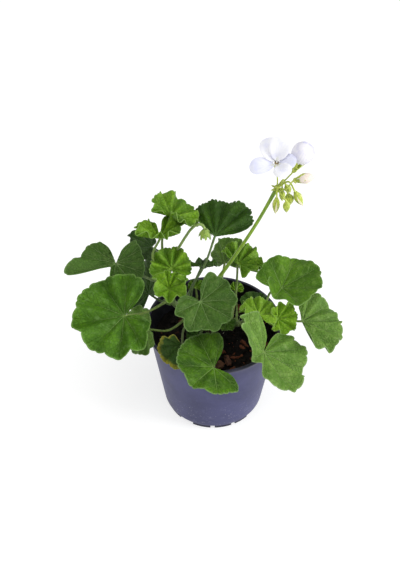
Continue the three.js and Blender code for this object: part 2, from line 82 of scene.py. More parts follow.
@dataclass(frozen=True)
class PotAxis:
    """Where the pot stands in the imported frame, in metres."""

    x: float
    y: float

    @classmethod
    def read(cls) -> PotAxis:
        """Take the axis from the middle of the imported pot."""
        low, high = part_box("pot")
        return cls((low.x + high.x) / 2, (low.y + high.y) / 2)

    def metres(self, places: np.ndarray | Sequence[float]) -> np.ndarray:
        """Turn places from the pot's foot into the frame.

        Args:
            places: One place or a list of places, in millimetres.

        Returns:
            The same places in metres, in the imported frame.
        """
        return np.asarray(places, float) * MM + np.array([self.x, self.y, 0.0])


AXIS = PotAxis.read()


# Shader maths


@dataclass(frozen=True)
class Wire:
    """A number or colour that runs between the nodes of one material."""

    graph: Graph
    socket: bpy.types.NodeSocket

    def _maths(self, operation: str, *terms: Wire | float) -> Wire:
        """Add one Math node."""
        return self.graph.node("ShaderNodeMath", {"operation": operation}, dict(enumerate(terms)))

    def __add__(self, other: Wire | float) -> Wire:
        """Sum."""
        return self._maths("ADD", self, other)

    def __radd__(self, other: float) -> Wire:
        """Sum, with the number on the left."""
        return self._maths("ADD", other, self)

    def __sub__(self, other: Wire | float) -> Wire:
        """Difference."""
        return self._maths("SUBTRACT", self, other)

    def __rsub__(self, other: float) -> Wire:
        """Difference, with the number on the left."""
        return self._maths("SUBTRACT", other, self)

    def __mul__(self, other: Wire | float) -> Wire:
        """Product."""
        return self._maths("MULTIPLY", self, other)

    def __rmul__(self, other: float) -> Wire:
        """Product, with the number on the left."""
        return self._maths("MULTIPLY", other, self)

    def __truediv__(self, other: Wire | float) -> Wire:
        """Quotient."""
        return self._maths("DIVIDE", self, other)

    def __rtruediv__(self, other: float) -> Wire:
        """Quotient, with the number on the left."""
        return self._maths("DIVIDE", other, self)

    def __abs__(self) -> Wire:
        """Size without sign."""
        return self._maths("ABSOLUTE", self)

    def part(self) -> Wire:
        """The part after the decimal point."""
        return self._maths("FRACT", self)

    def least(self, other: Wire | float) -> Wire:
        """The smaller of two."""
        return self._maths("MINIMUM", self, other)

    def most(self, other: Wire | float) -> Wire:
        """The larger of two."""
        return self._maths("MAXIMUM", self, other)

    def ramp(self, low: float, high: float) -> Wire:
        """A smooth step from 0 at low to 1 at high."""
        sockets = {"Value": self, "From Min": low, "From Max": high}
        return self.graph.node("ShaderNodeMapRange", {"interpolation_type": "SMOOTHSTEP"}, sockets)


class Graph:
    """The shader nodes of one material."""

    def __init__(self, name: str) -> None:
        """Start an empty material."""
        self.material = bpy.data.materials.new(name)
        self.material.use_nodes = True
        self.tree = self.material.node_tree
        self.tree.nodes.clear()

    @staticmethod
    def _find(sockets: bpy.types.bpy_prop_collection, key: str | int) -> bpy.types.NodeSocket:
        """Find a socket by its number, identifier or name."""
        if isinstance(key, int):
            return sockets[key]
        for socket in sockets:
            if socket.identifier == key:
                return socket
        return sockets[key]

    def node(
        self,
        kind: str,
        settings: dict[str, object] | None = None,
        sockets: dict[str | int, object] | None = None,
        output: str | int = 0,
    ) -> Wire:
        """Add a node of any kind.

        Args:
            kind: The node's type.
            settings: What is chosen on the node itself, set before its sockets.
            sockets: The values or wires of its inputs.
            output: The output that the wire leaves from.

        Returns:
            The wire from that output.
        """
        made = self.tree.nodes.new(kind)
        for name, value in (settings or {}).items():
            setattr(made, name, value)
        for key, value in (sockets or {}).items():
            socket = self._find(made.inputs, key)
            if isinstance(value, Wire):
                self.tree.links.new(value.socket, socket)
            else:
                socket.default_value = value
        return Wire(self, self._find(made.outputs, output))

    def place(self) -> Wire:
        """Where the surface is, in metres."""
        return self.node("ShaderNodeTexCoord", output="Object")

    def split(self, vector: Wire) -> tuple[Wire, Wire, Wire]:
        """The three numbers of a vector."""
        parts = self.node("ShaderNodeSeparateXYZ", sockets={"Vector": vector})
        outputs = parts.socket.node.outputs
        return tuple(Wire(self, outputs[index]) for index in range(3))

    def laid(self, name: str) -> tuple[Wire, Wire]:
        """The two numbers of a UV map."""
        across, along, _ = self.split(self.node("ShaderNodeUVMap", {"uv_map": name}))
        return across, along

    def noise(self, at: Wire, size_mm: float, detail: float = 2.0, stretch: Place = (1, 1, 1)) -> Wire:
        """Soft noise, whose patches are about size_mm across."""
        if stretch != (1, 1, 1):
            at = self.node("ShaderNodeMapping", sockets={"Vector": at, "Scale": stretch})
        sockets = {"Vector": at, "Scale": 1 / (size_mm * MM), "Detail": detail}
        return self.node("ShaderNodeTexNoise", sockets=sockets)

    def cells(self, at: Wire, size_mm: float) -> Wire:
        """The distance to the border of cells that are about size_mm across."""
        sockets = {"Vector": at, "Scale": 1 / (size_mm * MM)}
        return self.node("ShaderNodeTexVoronoi", {"feature": "DISTANCE_TO_EDGE"}, sockets)

    def mix(self, first: Wire | Colour, second: Wire | Colour, share: Wire | float) -> Wire:
        """Mix two colours."""
        ends = [end if isinstance(end, Wire) else (*end, 1.0) for end in (first, second)]
        sockets = {"Factor_Float": share, "A_Color": ends[0], "B_Color": ends[1]}
        settings = {"data_type": "RGBA", "clamp_factor": True}
        return self.node("ShaderNodeMix", settings, sockets, output="Result_Color")

    def relief(self, height: Wire, depth_mm: float, strength: float = 1.0) -> Wire:
        """A bumped normal."""
        sockets = {"Height": height, "Distance": depth_mm * MM, "Strength": strength}
        return self.node("ShaderNodeBump", sockets=sockets)

    def surface(self, **sockets: object) -> bpy.types.Material:
        """End the material in one Principled surface.

        Args:
            **sockets: Its inputs, with an underscore for each space.

        Returns:
            The finished material.
        """
        named = {key.replace("_", " "): value for key, value in sockets.items()}
        for key, value in named.items():
            if isinstance(value, tuple) and len(value) == 3 and "Radius" not in key:
                named[key] = (*value, 1.0)
        shader = self.node("ShaderNodeBsdfPrincipled", sockets=named)
        output = self.tree.nodes.new("ShaderNodeOutputMaterial")
        self.tree.links.new(shader.socket, output.inputs["Surface"])
        return self.material


# Mesh helpers


def clear_selection() -> None:
    """Deselect everything."""
    bpy.ops.object.select_all(action="DESELECT")


def make_active(piece: bpy.types.Object) -> None:
    """Select one object alone."""
    clear_selection()
    piece.select_set(True)
    bpy.context.view_layer.objects.active = piece


def read_vertices(piece: bpy.types.Object) -> np.ndarray:
    """Read a mesh's vertices as rows."""
    flat = np.empty(len(piece.data.vertices) * 3)
    piece.data.vertices.foreach_get("co", flat)
    return flat.reshape(-1, 3)


def write_vertices(piece: bpy.types.Object, places: np.ndarray) -> None:
    """Write a mesh's vertices from rows."""
    piece.data.vertices.foreach_set("co", np.ascontiguousarray(places, float).ravel())
    piece.data.update()


def lay_map(piece: bpy.types.Object, values: np.ndarray, name: str = "Blade") -> None:
    """Give a mesh a UV map with one pair of numbers for each vertex."""
    corners = np.empty(len(piece.data.loops), int)
    piece.data.loops.foreach_get("vertex_index", corners)
    layer = piece.data.uv_layers.get(name) or piece.data.uv_layers.new(name=name)
    layer.data.foreach_set("uv", values[corners].astype(np.float32).ravel())


def drop_map(piece: bpy.types.Object) -> None:
    """Drop the UV map that the grid came with."""
    spare = piece.data.uv_layers.get("UVMap")
    if spare:
        piece.data.uv_layers.remove(spare)


def weld(piece: bpy.types.Object, closed: bool) -> None:
    """Merge vertices that lie on one another.

    Args:
        piece: The mesh.
        closed: Whether it is a closed shell, whose faces are then turned outwards.
    """
    make_active(piece)
    bpy.ops.object.mode_set(mode="EDIT")
    bpy.ops.mesh.select_all(action="SELECT")
    bpy.ops.mesh.remove_doubles(threshold=1e-6)
    if closed:
        bpy.ops.mesh.normals_make_consistent(inside=False)
    bpy.ops.object.mode_set(mode="OBJECT")


def formed_sheet(name: str, across: int, along: int, form: Form) -> tuple[bpy.types.Object, np.ndarray]:
    """Add a grid and lay its vertices on the surface that a formula gives.

    Args:
        name: The piece's name.
        across: The number of faces across.
        along: The number of faces along.
        form: Gives the places, in millimetres, for arrays of the shares across and along.

    Returns:
        The sheet, not yet welded, and its vertices' two shares.
    """
    clear_selection()
    bpy.ops.mesh.primitive_grid_add(x_subdivisions=across, y_subdivisions=along, size=1.0)
    sheet = bpy.context.object
    sheet.name = sheet.data.name = name
    shares = read_vertices(sheet)[:, :2] + 0.5
    write_vertices(sheet, AXIS.metres(form(shares[:, 0], shares[:, 1])))
    return sheet, shares


def solidify(piece: bpy.types.Object, thickness_mm: float, inner: int = 1, rim: int = 2) -> None:
    """Give a sheet its thickness, half to each side.

    Args:
        piece: The sheet.
        thickness_mm: Its thickness.
        inner: How many material slots further the far side's finish is.
        rim: How many material slots further the edge's finish is.
    """
    make_active(piece)
    skin = piece.modifiers.new("Thickness", "SOLIDIFY")
    skin.thickness = thickness_mm * MM
    skin.offset = 0.0
    skin.material_offset = inner
    skin.material_offset_rim = rim
    bpy.ops.object.modifier_apply(modifier=skin.name)


def closed_piece(name: str, faces: tuple[int, int], form: Form) -> bpy.types.Object:
    """Form a sheet that closes on itself and weld its seam and ends.

    Args:
        name: The piece's name.
        faces: The number of faces round it and along it.
        form: Gives its places, as for formed_sheet.

    Returns:
        The closed body, whose map holds its shares round and along.
    """
    body, shares = formed_sheet(name, *faces, form)
    lay_map(body, shares)
    drop_map(body)
    weld(body, closed=True)
    return body


def thin_piece(
    name: str,
    faces: tuple[int, int],
    form: Form,
    thickness_mm: float,
    spread: tuple[float, float] = (1.0, 1.0),
    start: float = 0.0,
) -> bpy.types.Object:
    """Form a sheet and make it a thin solid with one finish all over.

    Args:
        name: The piece's name.
        faces: The number of faces across and along.
        form: Gives its places, as for formed_sheet.
        thickness_mm: Its thickness.
        spread: How far its map runs across and along.
        start: Where its map starts along.

    Returns:
        The thin solid.
    """
    sheet, shares = formed_sheet(name, *faces, form)
    lay_map(sheet, shares * spread + (0.0, start))
    drop_map(sheet)
    weld(sheet, closed=False)
    solidify(sheet, thickness_mm, inner=0, rim=0)
    return sheet


def dress(piece: bpy.types.Object, *materials: bpy.types.Material) -> None:
    """Give a piece its material slots."""
    piece.data.materials.clear()
    for material in materials:
        piece.data.materials.append(material)


def paint(piece: bpy.types.Object, slot: int) -> None:
    """Give all of a piece's faces one of its material slots."""
    for face in piece.data.polygons:
        face.material_index = slot


def joined(name: str, pieces: Sequence[bpy.types.Object]) -> bpy.types.Object:
    """Join several meshes in one piece."""
    clear_selection()
    for piece in pieces:
        piece.select_set(True)
    bpy.context.view_layer.objects.active = pieces[0]
    if len(pieces) > 1:
        bpy.ops.object.join()
    whole = bpy.context.object
    whole.name = whole.data.name = name
    return whole


def settle(name: str, parts: Sequence[bpy.types.Object], node: str, angle: float = 60.0) -> None:
    """Join a piece's dressed parts, put it in its CAD node's place and report it.

    Args:
        name: The piece's name.
        parts: Its parts.
        node: The CAD node it stands for.
        angle: The angle in degrees past which an edge is shaded sharp.
    """
    piece = joined(name, parts)
    bpy.ops.object.shade_smooth_by_angle(angle=math.radians(angle))
    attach(piece, BODY)
    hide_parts(node)
    LOG.info("%s: %d faces", piece.name, len(piece.data.polygons))


# Curves and directions


def compass(turn: float, height: float = 0.0) -> np.ndarray:
    """The unit vector at a compass turn (0 is +X, 90 is +Y) and a height above level."""
    level = math.cos(math.radians(height))
    return np.array([
        level * math.cos(math.radians(turn)),
        level * math.sin(math.radians(turn)),
        math.sin(math.radians(height)),
    ])


def unit(vector: np.ndarray) -> np.ndarray:
    """A vector's direction."""
    return vector / np.linalg.norm(vector)


def ease(values: Sequence[float], place: np.ndarray) -> np.ndarray:
    """Read a smooth curve through a short list, one entry for each lobe."""
    heights = np.asarray(values, float)
    padded = np.concatenate([heights[:1], heights, heights[-1:]])
    held = np.clip(place, 0, len(heights) - 1)
    before = np.minimum(held.astype(int), len(heights) - 2)
    t = held - before
    p0, p1, p2, p3 = (padded[before + step] for step in range(4))
    bend = 2 * p0 - 5 * p1 + 4 * p2 - p3 + (3 * p1 - p0 - 3 * p2 + p3) * t
    return p1 + 0.5 * t * (p2 - p0 + t * bend)


def smooth_path(points: Sequence[Place], count: int) -> np.ndarray:
    """Sample a smooth curve that passes through its points.

    Args:
        points: The points, in millimetres.
        count: The number of samples.

    Returns:
        The samples, evenly spread over the curve.
    """
    knots = np.asarray(points, float)
    first = 2 * knots[0] - knots[1]
    last = 2 * knots[-1] - knots[-2]
    padded = np.vstack([first, knots, last])
    times = np.concatenate([[0.0], np.cumsum(np.linalg.norm(np.diff(padded, axis=0), axis=1) ** 0.5)])
    samples = []
    for index in range(1, len(padded) - 2):
        p0, p1, p2, p3 = padded[index - 1 : index + 3]
        t0, t1, t2, t3 = times[index - 1 : index + 3]
        t = np.linspace(t1, t2, 40, endpoint=index == len(padded) - 3)[:, None]
        a1 = (t1 - t) / (t1 - t0) * p0 + (t - t0) / (t1 - t0) * p1
        a2 = (t2 - t) / (t2 - t1) * p1 + (t - t1) / (t2 - t1) * p2
        a3 = (t3 - t) / (t3 - t2) * p2 + (t - t2) / (t3 - t2) * p3
        b1 = (t2 - t) / (t2 - t0) * a1 + (t - t0) / (t2 - t0) * a2
        b2 = (t3 - t) / (t3 - t1) * a2 + (t - t1) / (t3 - t1) * a3
        samples.append((t2 - t) / (t2 - t1) * b1 + (t - t1) / (t2 - t1) * b2)
    curve = np.vstack(samples)
    walked = np.concatenate([[0.0], np.cumsum(np.linalg.norm(np.diff(curve, axis=0), axis=1))])
    wanted = np.linspace(0, walked[-1], count)
    return np.stack([np.interp(wanted, walked, curve[:, axis]) for axis in range(3)], axis=1)


def stalk(
    name: str,
    points: Sequence[Place],
    radii: Sequence[float],
    sides: int = 12,
    steps: int = 28,
    bumps: float = 0.0,
) -> bpy.types.Object:
    """Make a round stalk along a smooth curve.

    Args:
        name: The piece's name.
        points: The points that it passes through, in millimetres.
        radii: Its radii, evenly spread from its start to its end, in millimetres.
        sides: The number of faces round it.
        steps: The number of faces along it.
        bumps: The height of soft bumps along it, as a share of the radius.

    Returns:
        The stalk, closed at both ends.
    """
    path = smooth_path(points, steps - 1)
    shares = np.linspace(0, 1, len(path))
    thick = np.interp(shares, np.linspace(0, 1, len(radii)), radii)
    thick = thick * (1 + bumps * np.sin(shares * 31.0 + len(name)))
    heading = np.gradient(path, axis=0)
    heading /= np.linalg.norm(heading, axis=1)[:, None]
    sideways = np.empty_like(path)
    spare = np.array([0.0, 0.0, 1.0]) if abs(heading[0][2]) < 0.9 else np.array([1.0, 0.0, 0.0])
    current = unit(np.cross(heading[0], spare))
    for index, way in enumerate(heading):
        current = unit(current - current.dot(way) * way)
        sideways[index] = current
    upwards = np.cross(heading, sideways)
    ends = [0, *range(len(path)), len(path) - 1]
    held = np.concatenate([[0.0], thick, [0.0]])

    def form(across: np.ndarray, along: np.ndarray) -> np.ndarray:
        """Wrap the sheet round the curve."""
        row = np.rint(along * steps).astype(int)
        knot = np.asarray(ends)[row]
        angle = across * 2 * math.pi
        reach = held[row][:, None]
        return path[knot] + reach * (
            np.cos(angle)[:, None] * sideways[knot] + np.sin(angle)[:, None] * upwards[knot]
        )

    return closed_piece(name, (sides, steps), form)


def turned(
    name: str, start: Place, end: Place, outline: Form, sides: int = 30, steps: int = 18
) -> bpy.types.Object:
    """Make a turned body, such as a bud, along a line.

    Args:
        name: The piece's name.
        start: Where it begins, in millimetres.
        end: Where it ends.
        outline: Gives the radius for arrays of the angle and of the share along the line.
        sides: The number of faces round it.
        steps: The number of faces along it.

    Returns:
        The body, closed at both ends if its outline starts and ends at no radius.
    """
    origin = np.asarray(start, float)
    line = np.asarray(end, float) - origin
    way = unit(line)
    spare = np.array([1.0, 0.0, 0.0]) if abs(way[0]) < 0.8 else np.array([0.0, 1.0, 0.0])
    sideways = unit(np.cross(way, spare))
    upwards = np.cross(way, sideways)

    def form(across: np.ndarray, along: np.ndarray) -> np.ndarray:
        """Turn the outline round the line."""
        angle = across * 2 * math.pi
        reach = outline(angle, along)[:, None]
        round_it = np.cos(angle)[:, None] * sideways + np.sin(angle)[:, None] * upwards
        return origin + along[:, None] * line + reach * round_it

    return closed_piece(name, (sides, steps), form)


def rounded(radius: float, lean: float, blunt: float) -> Form:
    """Give the outline of a round body, for turned.

    Args:
        radius: Its widest radius, in millimetres.
        lean: 1 where it is widest in the middle, and less where it is widest nearer its start.
        blunt: The power of its curve, where less is blunter.

    Returns:
        The outline.
    """

    def outline(angle: np.ndarray, share: np.ndarray) -> np.ndarray:
        """The radius at each share along the body."""
        return radius * np.sin(np.pi * np.clip(share, 0, 1) ** lean) ** blunt + 0 * angle

    return outline


# Finishes


@dataclass(frozen=True)
class LeafFinish:
    """The colours of one kind of leaf: its upper face, its underside, its edge and its petiole."""

    name: str
    deep: Colour
    bright: Colour
    vein: Colour
    edge: Colour
    below: Colour
    stem: Colour
    # The next colour is painted sheen: a lighter, greyer green laid on soft patches of the upper face.
    painted_sheen: Colour
    veining: float = 0.5
    vein_reach: float = 0.35
    # The share of painted light and shade that follows the lobes' ridges and folds.
    fold_light: float = 0.2
    yellow_edge: float = 0.0
    roughness: float = 0.5

    def faces(self) -> list[bpy.types.Material]:
        """The four materials, in the order of a leaf's slots."""
        return [self.upper(), self.underside(), self.margin(), self.petiole()]

    def _veins(self, graph: Graph, at: Wire) -> tuple[Wire, Wire, Wire]:
        """The masks of the main veins, the side veins and the small cells between them."""
        _, out = graph.laid("Blade")
        aside, reach = graph.laid("Span")
        wobble = graph.noise(at, 9.0) - 0.5
        main = 1 - (abs(aside + 0.04 * wobble) / (0.075 * (1.2 - out))).ramp(0.25, 1.0)
        beyond = (reach - 0.5 * reach / out.most(0.05)).most(0.0)
        fork = 1 - (abs(aside - 0.24 * beyond + 0.05 * wobble) / 0.035).ramp(0.2, 1.0)
        fork = fork * out.ramp(0.5, 0.56)
        place = (reach - 1.15 * aside + 0.35 * wobble) / 0.62
        stripe = abs(place.part() - 0.5) * 2
        side = (stripe.ramp(0.78, 1.0) * 0.6).most(fork)
        cells = graph.cells(at, 3.0).ramp(0.0, 0.22)
        return main, side, cells

    def upper(self) -> bpy.types.Material:
        """The upper face: green between pale veins, softly quilted, with painted sheen and painted light
        and shade on its relief.
        """
        graph = Graph(f"{self.name}_upper")
        at = graph.place()
        along, out = graph.laid("Blade")
        main, side, cells = self._veins(graph, at)
        broad = graph.noise(at, 16.0, 3.0)
        fine = graph.noise(at, 1.2, 3.0)
        soft = graph.noise(at, 5.0, 3.0)
        # Random tone from broad noise, with painted light and shade on the relief: the lobes' ridges
        # lighter than the folds at the veins, the soft bulges lighter and the borders of the small cells
        # darker.
        ridge = abs(along.part() - 0.5) * 2
        light = broad.ramp(0.3, 0.7) * (1 - self.fold_light) + ridge * self.fold_light
        colour = graph.mix(self.deep, self.bright, light * (0.55 + 0.45 * cells) + (soft - 0.5) * 0.4)
        # Painted sheen: soft patches of the upper face take a lighter, greyer green.
        colour = graph.mix(colour, self.painted_sheen, (soft + 0.3 * (fine - 0.5)).ramp(0.52, 0.72) * 0.5)
        pale = 1 - out.ramp(self.vein_reach, self.vein_reach + 0.45)
        colour = graph.mix(colour, self.vein, ((main + side * 0.45).least(1.0) * pale * self.veining))
        # Painted shade: past the pale zone the sunken main veins are darkened towards the deep green.
        colour = graph.mix(colour, self.deep, main * (1 - pale) * 0.6)
        if self.yellow_edge:
            patch = (graph.noise(at, 9.0, 2.0) * 0.5 + out).ramp(1.05, 1.25)
            turning = patch * (1 - (along / 7.0).ramp(0.55, 0.8)) * self.yellow_edge
            colour = graph.mix(colour, (0.30, 0.27, 0.02), turning)
        colour = graph.mix(colour, self.edge, out.ramp(0.95, 1.0) * 0.7)
        height = cells * 0.5 + soft * 1.3 + fine * 0.2 - main * 1.2 - side * 0.9
        return graph.surface(
            Base_Color=colour,
            Roughness=self.roughness + fine * 0.12,
            Specular_IOR_Level=0.2,
            Subsurface_Weight=0.05,
            Subsurface_Radius=(0.4, 1.0, 0.15),
            Subsurface_Scale=0.001,
            Normal=graph.relief(height, 0.55, 0.9),
        )

    def underside(self) -> bpy.types.Material:
        """The underside: paler and duller, with raised veins."""
        graph = Graph(f"{self.name}_underside")
        at = graph.place()
        main, side, cells = self._veins(graph, at)
        broad = graph.noise(at, 14.0, 2.0)
        shade = tuple(0.72 * channel for channel in self.below)
        colour = graph.mix(shade, self.below, broad.ramp(0.3, 0.7))
        colour = graph.mix(colour, self.stem, (main * 0.8 + side * 0.45).least(0.85))
        height = main + side * 0.6 - cells * 0.25
        return graph.surface(
            Base_Color=colour,
            Roughness=0.62,
            Specular_IOR_Level=0.3,
            Subsurface_Weight=0.05,
            Subsurface_Radius=(0.4, 1.0, 0.15),
            Subsurface_Scale=0.001,
            Sheen_Weight=0.1,
            Normal=graph.relief(height, 0.4, 0.8),
        )

    def margin(self) -> bpy.types.Material:
        """The thin edge, pale with fine hairs."""
        graph = Graph(f"{self.name}_edge")
        speckle = graph.noise(graph.place(), 0.8, 2.0)
        colour = graph.mix(self.edge, self.below, speckle.ramp(0.45, 0.75) * 0.5)
        return graph.surface(Base_Color=colour, Roughness=0.6)

    def petiole(self) -> bpy.types.Material:
        """The leaf's stalk: smooth, a little streaked and finely hairy."""
        graph = Graph(f"{self.name}_petiole")
        at = graph.place()
        streaks = graph.noise(at, 2.0, 2.0)
        fuzz = graph.noise(at, 0.35, 2.0)
        shade = tuple(0.6 * channel for channel in self.stem)
        colour = graph.mix(shade, self.stem, streaks.ramp(0.3, 0.65))
        return graph.surface(
            Base_Color=colour,
            Roughness=0.5,
            Subsurface_Weight=0.08,
            Subsurface_Radius=(0.5, 1.0, 0.2),
            Subsurface_Scale=0.001,
            Sheen_Weight=0.1,
            Normal=graph.relief(fuzz, 0.08, 0.6),
        )


class LeafKind(Enum):
    """The kinds of leaf on this plant."""

    MATURE = LeafFinish(
        "mature", deep=(0.034, 0.103, 0.003), bright=(0.084, 0.210, 0.006), vein=(0.22, 0.36, 0.09),
        edge=(0.18, 0.32, 0.07), below=(0.10, 0.18, 0.05), stem=(0.22, 0.33, 0.06),
        painted_sheen=(0.13, 0.24, 0.06),
    )
    # This kind and the next are darker copies of the leaf's green: painted shade for leaves that stand in
    # the others' shade.
    SHADED = LeafFinish(
        "shaded", deep=(0.016, 0.054, 0.002), bright=(0.046, 0.116, 0.005), vein=(0.08, 0.15, 0.04),
        edge=(0.08, 0.14, 0.04), below=(0.07, 0.12, 0.04), stem=(0.10, 0.17, 0.04),
        painted_sheen=(0.05, 0.09, 0.025),
    )
    DUSKY = LeafFinish(
        "darker_shaded", deep=(0.008, 0.030, 0.001), bright=(0.026, 0.070, 0.002), vein=(0.05, 0.10, 0.02),
        edge=(0.05, 0.10, 0.02), below=(0.05, 0.09, 0.03), stem=(0.10, 0.17, 0.04),
        painted_sheen=(0.03, 0.06, 0.01),
    )
    GREYED = LeafFinish(
        "greyed", deep=(0.032, 0.082, 0.007), bright=(0.066, 0.148, 0.016), vein=(0.20, 0.32, 0.10),
        edge=(0.16, 0.27, 0.08), below=(0.10, 0.17, 0.07), stem=(0.15, 0.23, 0.06),
        painted_sheen=(0.11, 0.18, 0.04), veining=0.75, vein_reach=0.8,
    )
    VEINED = LeafFinish(
        "veined", deep=(0.046, 0.125, 0.003), bright=(0.110, 0.245, 0.009), vein=(0.23, 0.38, 0.10),
        edge=(0.20, 0.34, 0.09), below=(0.10, 0.18, 0.05), stem=(0.20, 0.30, 0.06),
        painted_sheen=(0.17, 0.29, 0.05), veining=0.7, vein_reach=0.8,
    )
    DEEP = LeafFinish(
        "deep", deep=(0.024, 0.074, 0.002), bright=(0.088, 0.210, 0.004), vein=(0.20, 0.34, 0.08),
        edge=(0.19, 0.30, 0.10), below=(0.08, 0.14, 0.04), stem=(0.13, 0.20, 0.04),
        painted_sheen=(0.10, 0.20, 0.03), veining=0.7, vein_reach=0.85,
    )
    LIGHT = LeafFinish(
        "light", deep=(0.072, 0.165, 0.018), bright=(0.165, 0.300, 0.045), vein=(0.26, 0.40, 0.12),
        edge=(0.27, 0.40, 0.14), below=(0.12, 0.19, 0.06), stem=(0.18, 0.27, 0.05),
        painted_sheen=(0.22, 0.34, 0.09), fold_light=0.4, veining=0.75, vein_reach=0.8,
    )
    YELLOWED = LeafFinish(
        "yellowed", deep=(0.016, 0.050, 0.004), bright=(0.042, 0.095, 0.009), vein=(0.09, 0.15, 0.04),
        edge=(0.24, 0.24, 0.04), below=(0.12, 0.14, 0.04), stem=(0.12, 0.17, 0.04),
        painted_sheen=(0.06, 0.10, 0.02), yellow_edge=0.85,
    )
    YOUNG = LeafFinish(
        "young", deep=(0.052, 0.145, 0.003), bright=(0.205, 0.390, 0.018), vein=(0.25, 0.42, 0.05),
        edge=(0.24, 0.38, 0.09), below=(0.12, 0.21, 0.05), stem=(0.18, 0.28, 0.05),
        painted_sheen=(0.21, 0.36, 0.05), fold_light=0.4, veining=0.6, vein_reach=0.8, roughness=0.45,
    )
    BRIGHT = LeafFinish(
        "bright", deep=(0.125, 0.275, 0.008), bright=(0.300, 0.510, 0.040), vein=(0.32, 0.52, 0.09),
        edge=(0.27, 0.42, 0.11), below=(0.17, 0.28, 0.07), stem=(0.22, 0.32, 0.06),
        painted_sheen=(0.26, 0.42, 0.08), fold_light=0.5, veining=0.6, vein_reach=0.8, roughness=0.45,
    )


# Leaves

ROUND_LOBES = (0.8, 0.9, 1, 1, 1, 0.9, 0.8)
PETIOLE_TAPER = (1.7, 1.15, 1.0, 0.95, 1.0)


@dataclass
class Blade:
    """A leaf's thin blade, which fans out from the petiole.

    heading is the compass direction of its tip, tilt and toward say how far and which way it leans
    from level, and notch is the open angle at its back. reach holds the lobes' lengths as parts of
    the radius, and lift their rise out of the blade's plane, anticlockwise from the notch.
    """

    at: Place
    heading: float
    tilt: float
    toward: float
    radius: float
    notch: float
    lift: float | tuple[float, ...] = 0.0
    reach: tuple[float, ...] = ROUND_LOBES
    pleat: float = 2.0
    dip: float = 0.05
    corner: float = 0.45
    teeth: int = 3
    tooth_depth: float = 0.04
    ruffle: float = 3.0
    groove: float = 0.25
    puff: float = 0.55
    crinkle: float = 0.13
    thickness: float = 0.5
    columns: int = 22
    rows: int = 24

    def __post_init__(self) -> None:
        """Work out the blade's own axes."""
        self.normal = compass(self.toward, 90 - self.tilt)
        tip = compass(self.heading)
        tip[2] = -(tip[0] * self.normal[0] + tip[1] * self.normal[1]) / self.normal[2]
        self.tip = unit(tip)
        self.side = np.cross(self.normal, self.tip)
        self.open = math.radians(180 - self.notch / 2)

    def _along(self, across: np.ndarray) -> np.ndarray:
        """How many lobes there are between the notch and a share across the sheet."""
        return len(self.reach) * (1 - across)

    def _length(self, along: np.ndarray, out: np.ndarray) -> np.ndarray:
        """The blade's length in one direction, with its lobes, teeth and corners."""
        lobes = len(self.reach)
        valley = ((1 - np.cos(2 * np.pi * (along - 0.5))) / 2) ** 1.6
        inwards = np.clip(np.minimum(along, lobes - along) / 0.75, 0, 1)
        rounding = self.corner + (1 - self.corner) * np.sin(np.pi / 2 * inwards)
        between = np.sqrt(np.abs(np.sin(np.pi * self.teeth * along)))
        uneven = self.tooth_depth * (1 + 0.35 * np.sin(along * 5.3 + self.at[1]))
        toothed = 1 - uneven * (1 - between) * out**7
        wander = 1 + 0.015 * np.sin(along * 3.7 + self.radius) * out
        return ease(self.reach, along - 0.5) * (1 - self.dip * valley) * rounding * toothed * wander

    def form(self, across: np.ndarray, share: np.ndarray) -> np.ndarray:
        """Place the blade's vertices.

        Args:
            across: Shares round the blade, from one side of the notch to the other.
            share: Shares out from the petiole to the margin.

        Returns:
            The places, in millimetres.
        """
        along = self._along(across)
        lobes = len(self.reach)
        angle = -self.open + 2 * self.open * along / lobes
        length = self._length(along, share)
        lifts = self.lift if isinstance(self.lift, tuple) else (self.lift,) * lobes
        fold = self.pleat * np.cos(2 * np.pi * (along - 0.5)) * np.minimum(1, 2.5 * share)
        wave = np.sin(along * 4.1 + self.at[0]) + 0.7 * np.sin(along * 8.9 + self.at[1])
        wave = self.ruffle * wave * share**3
        rise = np.radians(ease(lifts, along - 0.5) - fold + wave)
        outward = np.cos(angle)[:, None] * self.tip + np.sin(angle)[:, None] * self.side
        reach = (self.radius * length * share)[:, None]
        places = np.asarray(self.at, float) + reach * (
            np.cos(rise)[:, None] * outward + np.sin(rise)[:, None] * self.normal
        )
        face = np.cos(rise)[:, None] * self.normal - np.sin(rise)[:, None] * outward
        return places + self._relief(along, share, length)[:, None] * face

    def _aside(self, along: np.ndarray, out: np.ndarray, length: np.ndarray) -> np.ndarray:
        """The distance from the nearest main vein, in millimetres."""
        wide = 2 * self.open / len(self.reach)
        return np.abs(along - np.floor(along) - 0.5) * wide * self.radius * length * out

    def _relief(self, along: np.ndarray, out: np.ndarray, length: np.ndarray) -> np.ndarray:
        """How far the face stands out between its sunken veins, in millimetres."""
        aside = self._aside(along, out, length)
        sunk = self.groove * np.exp(-((aside / 0.7) ** 2)) * (1 - 0.6 * out)
        quilt = self.puff * (1 - np.exp(-((aside / 3.0) ** 2))) * (1 - out**3)
        walk = self.radius * length * out
        cross = self.crinkle * np.cos((walk - 1.15 * aside) * 2 * np.pi / 6.2) * np.minimum(1, aside / 2)
        lumps = np.sin(walk * 1.9 + along * 7.7) * np.sin(along * 19.0 + self.at[0]) * self.crinkle
        return quilt - sunk - (cross + lumps * np.minimum(1, walk / 6)) * (1 - out**6)

    def marks(self, across: np.ndarray, share: np.ndarray) -> dict[str, np.ndarray]:
        """The numbers that the finish follows: lobes and share out, and the veins' distances in cm."""
        along = self._along(across)
        length = self._length(along, share)
        aside = self._aside(along, share, length) / 10
        walk = self.radius * length * share / 10
        return {"Blade": np.stack([along, share], axis=1), "Span": np.stack([aside, walk], axis=1)}

    def build(self, name: str) -> bpy.types.Object:
        """Make the blade as one thin solid."""
        across = len(self.reach) * self.columns
        sheet, shares = formed_sheet(name, across, self.rows, self.form)
        for layer, values in self.marks(shares[:, 0], shares[:, 1]).items():
            lay_map(sheet, values, layer)
        drop_map(sheet)
        weld(sheet, closed=False)
        solidify(sheet, self.thickness)
        return sheet


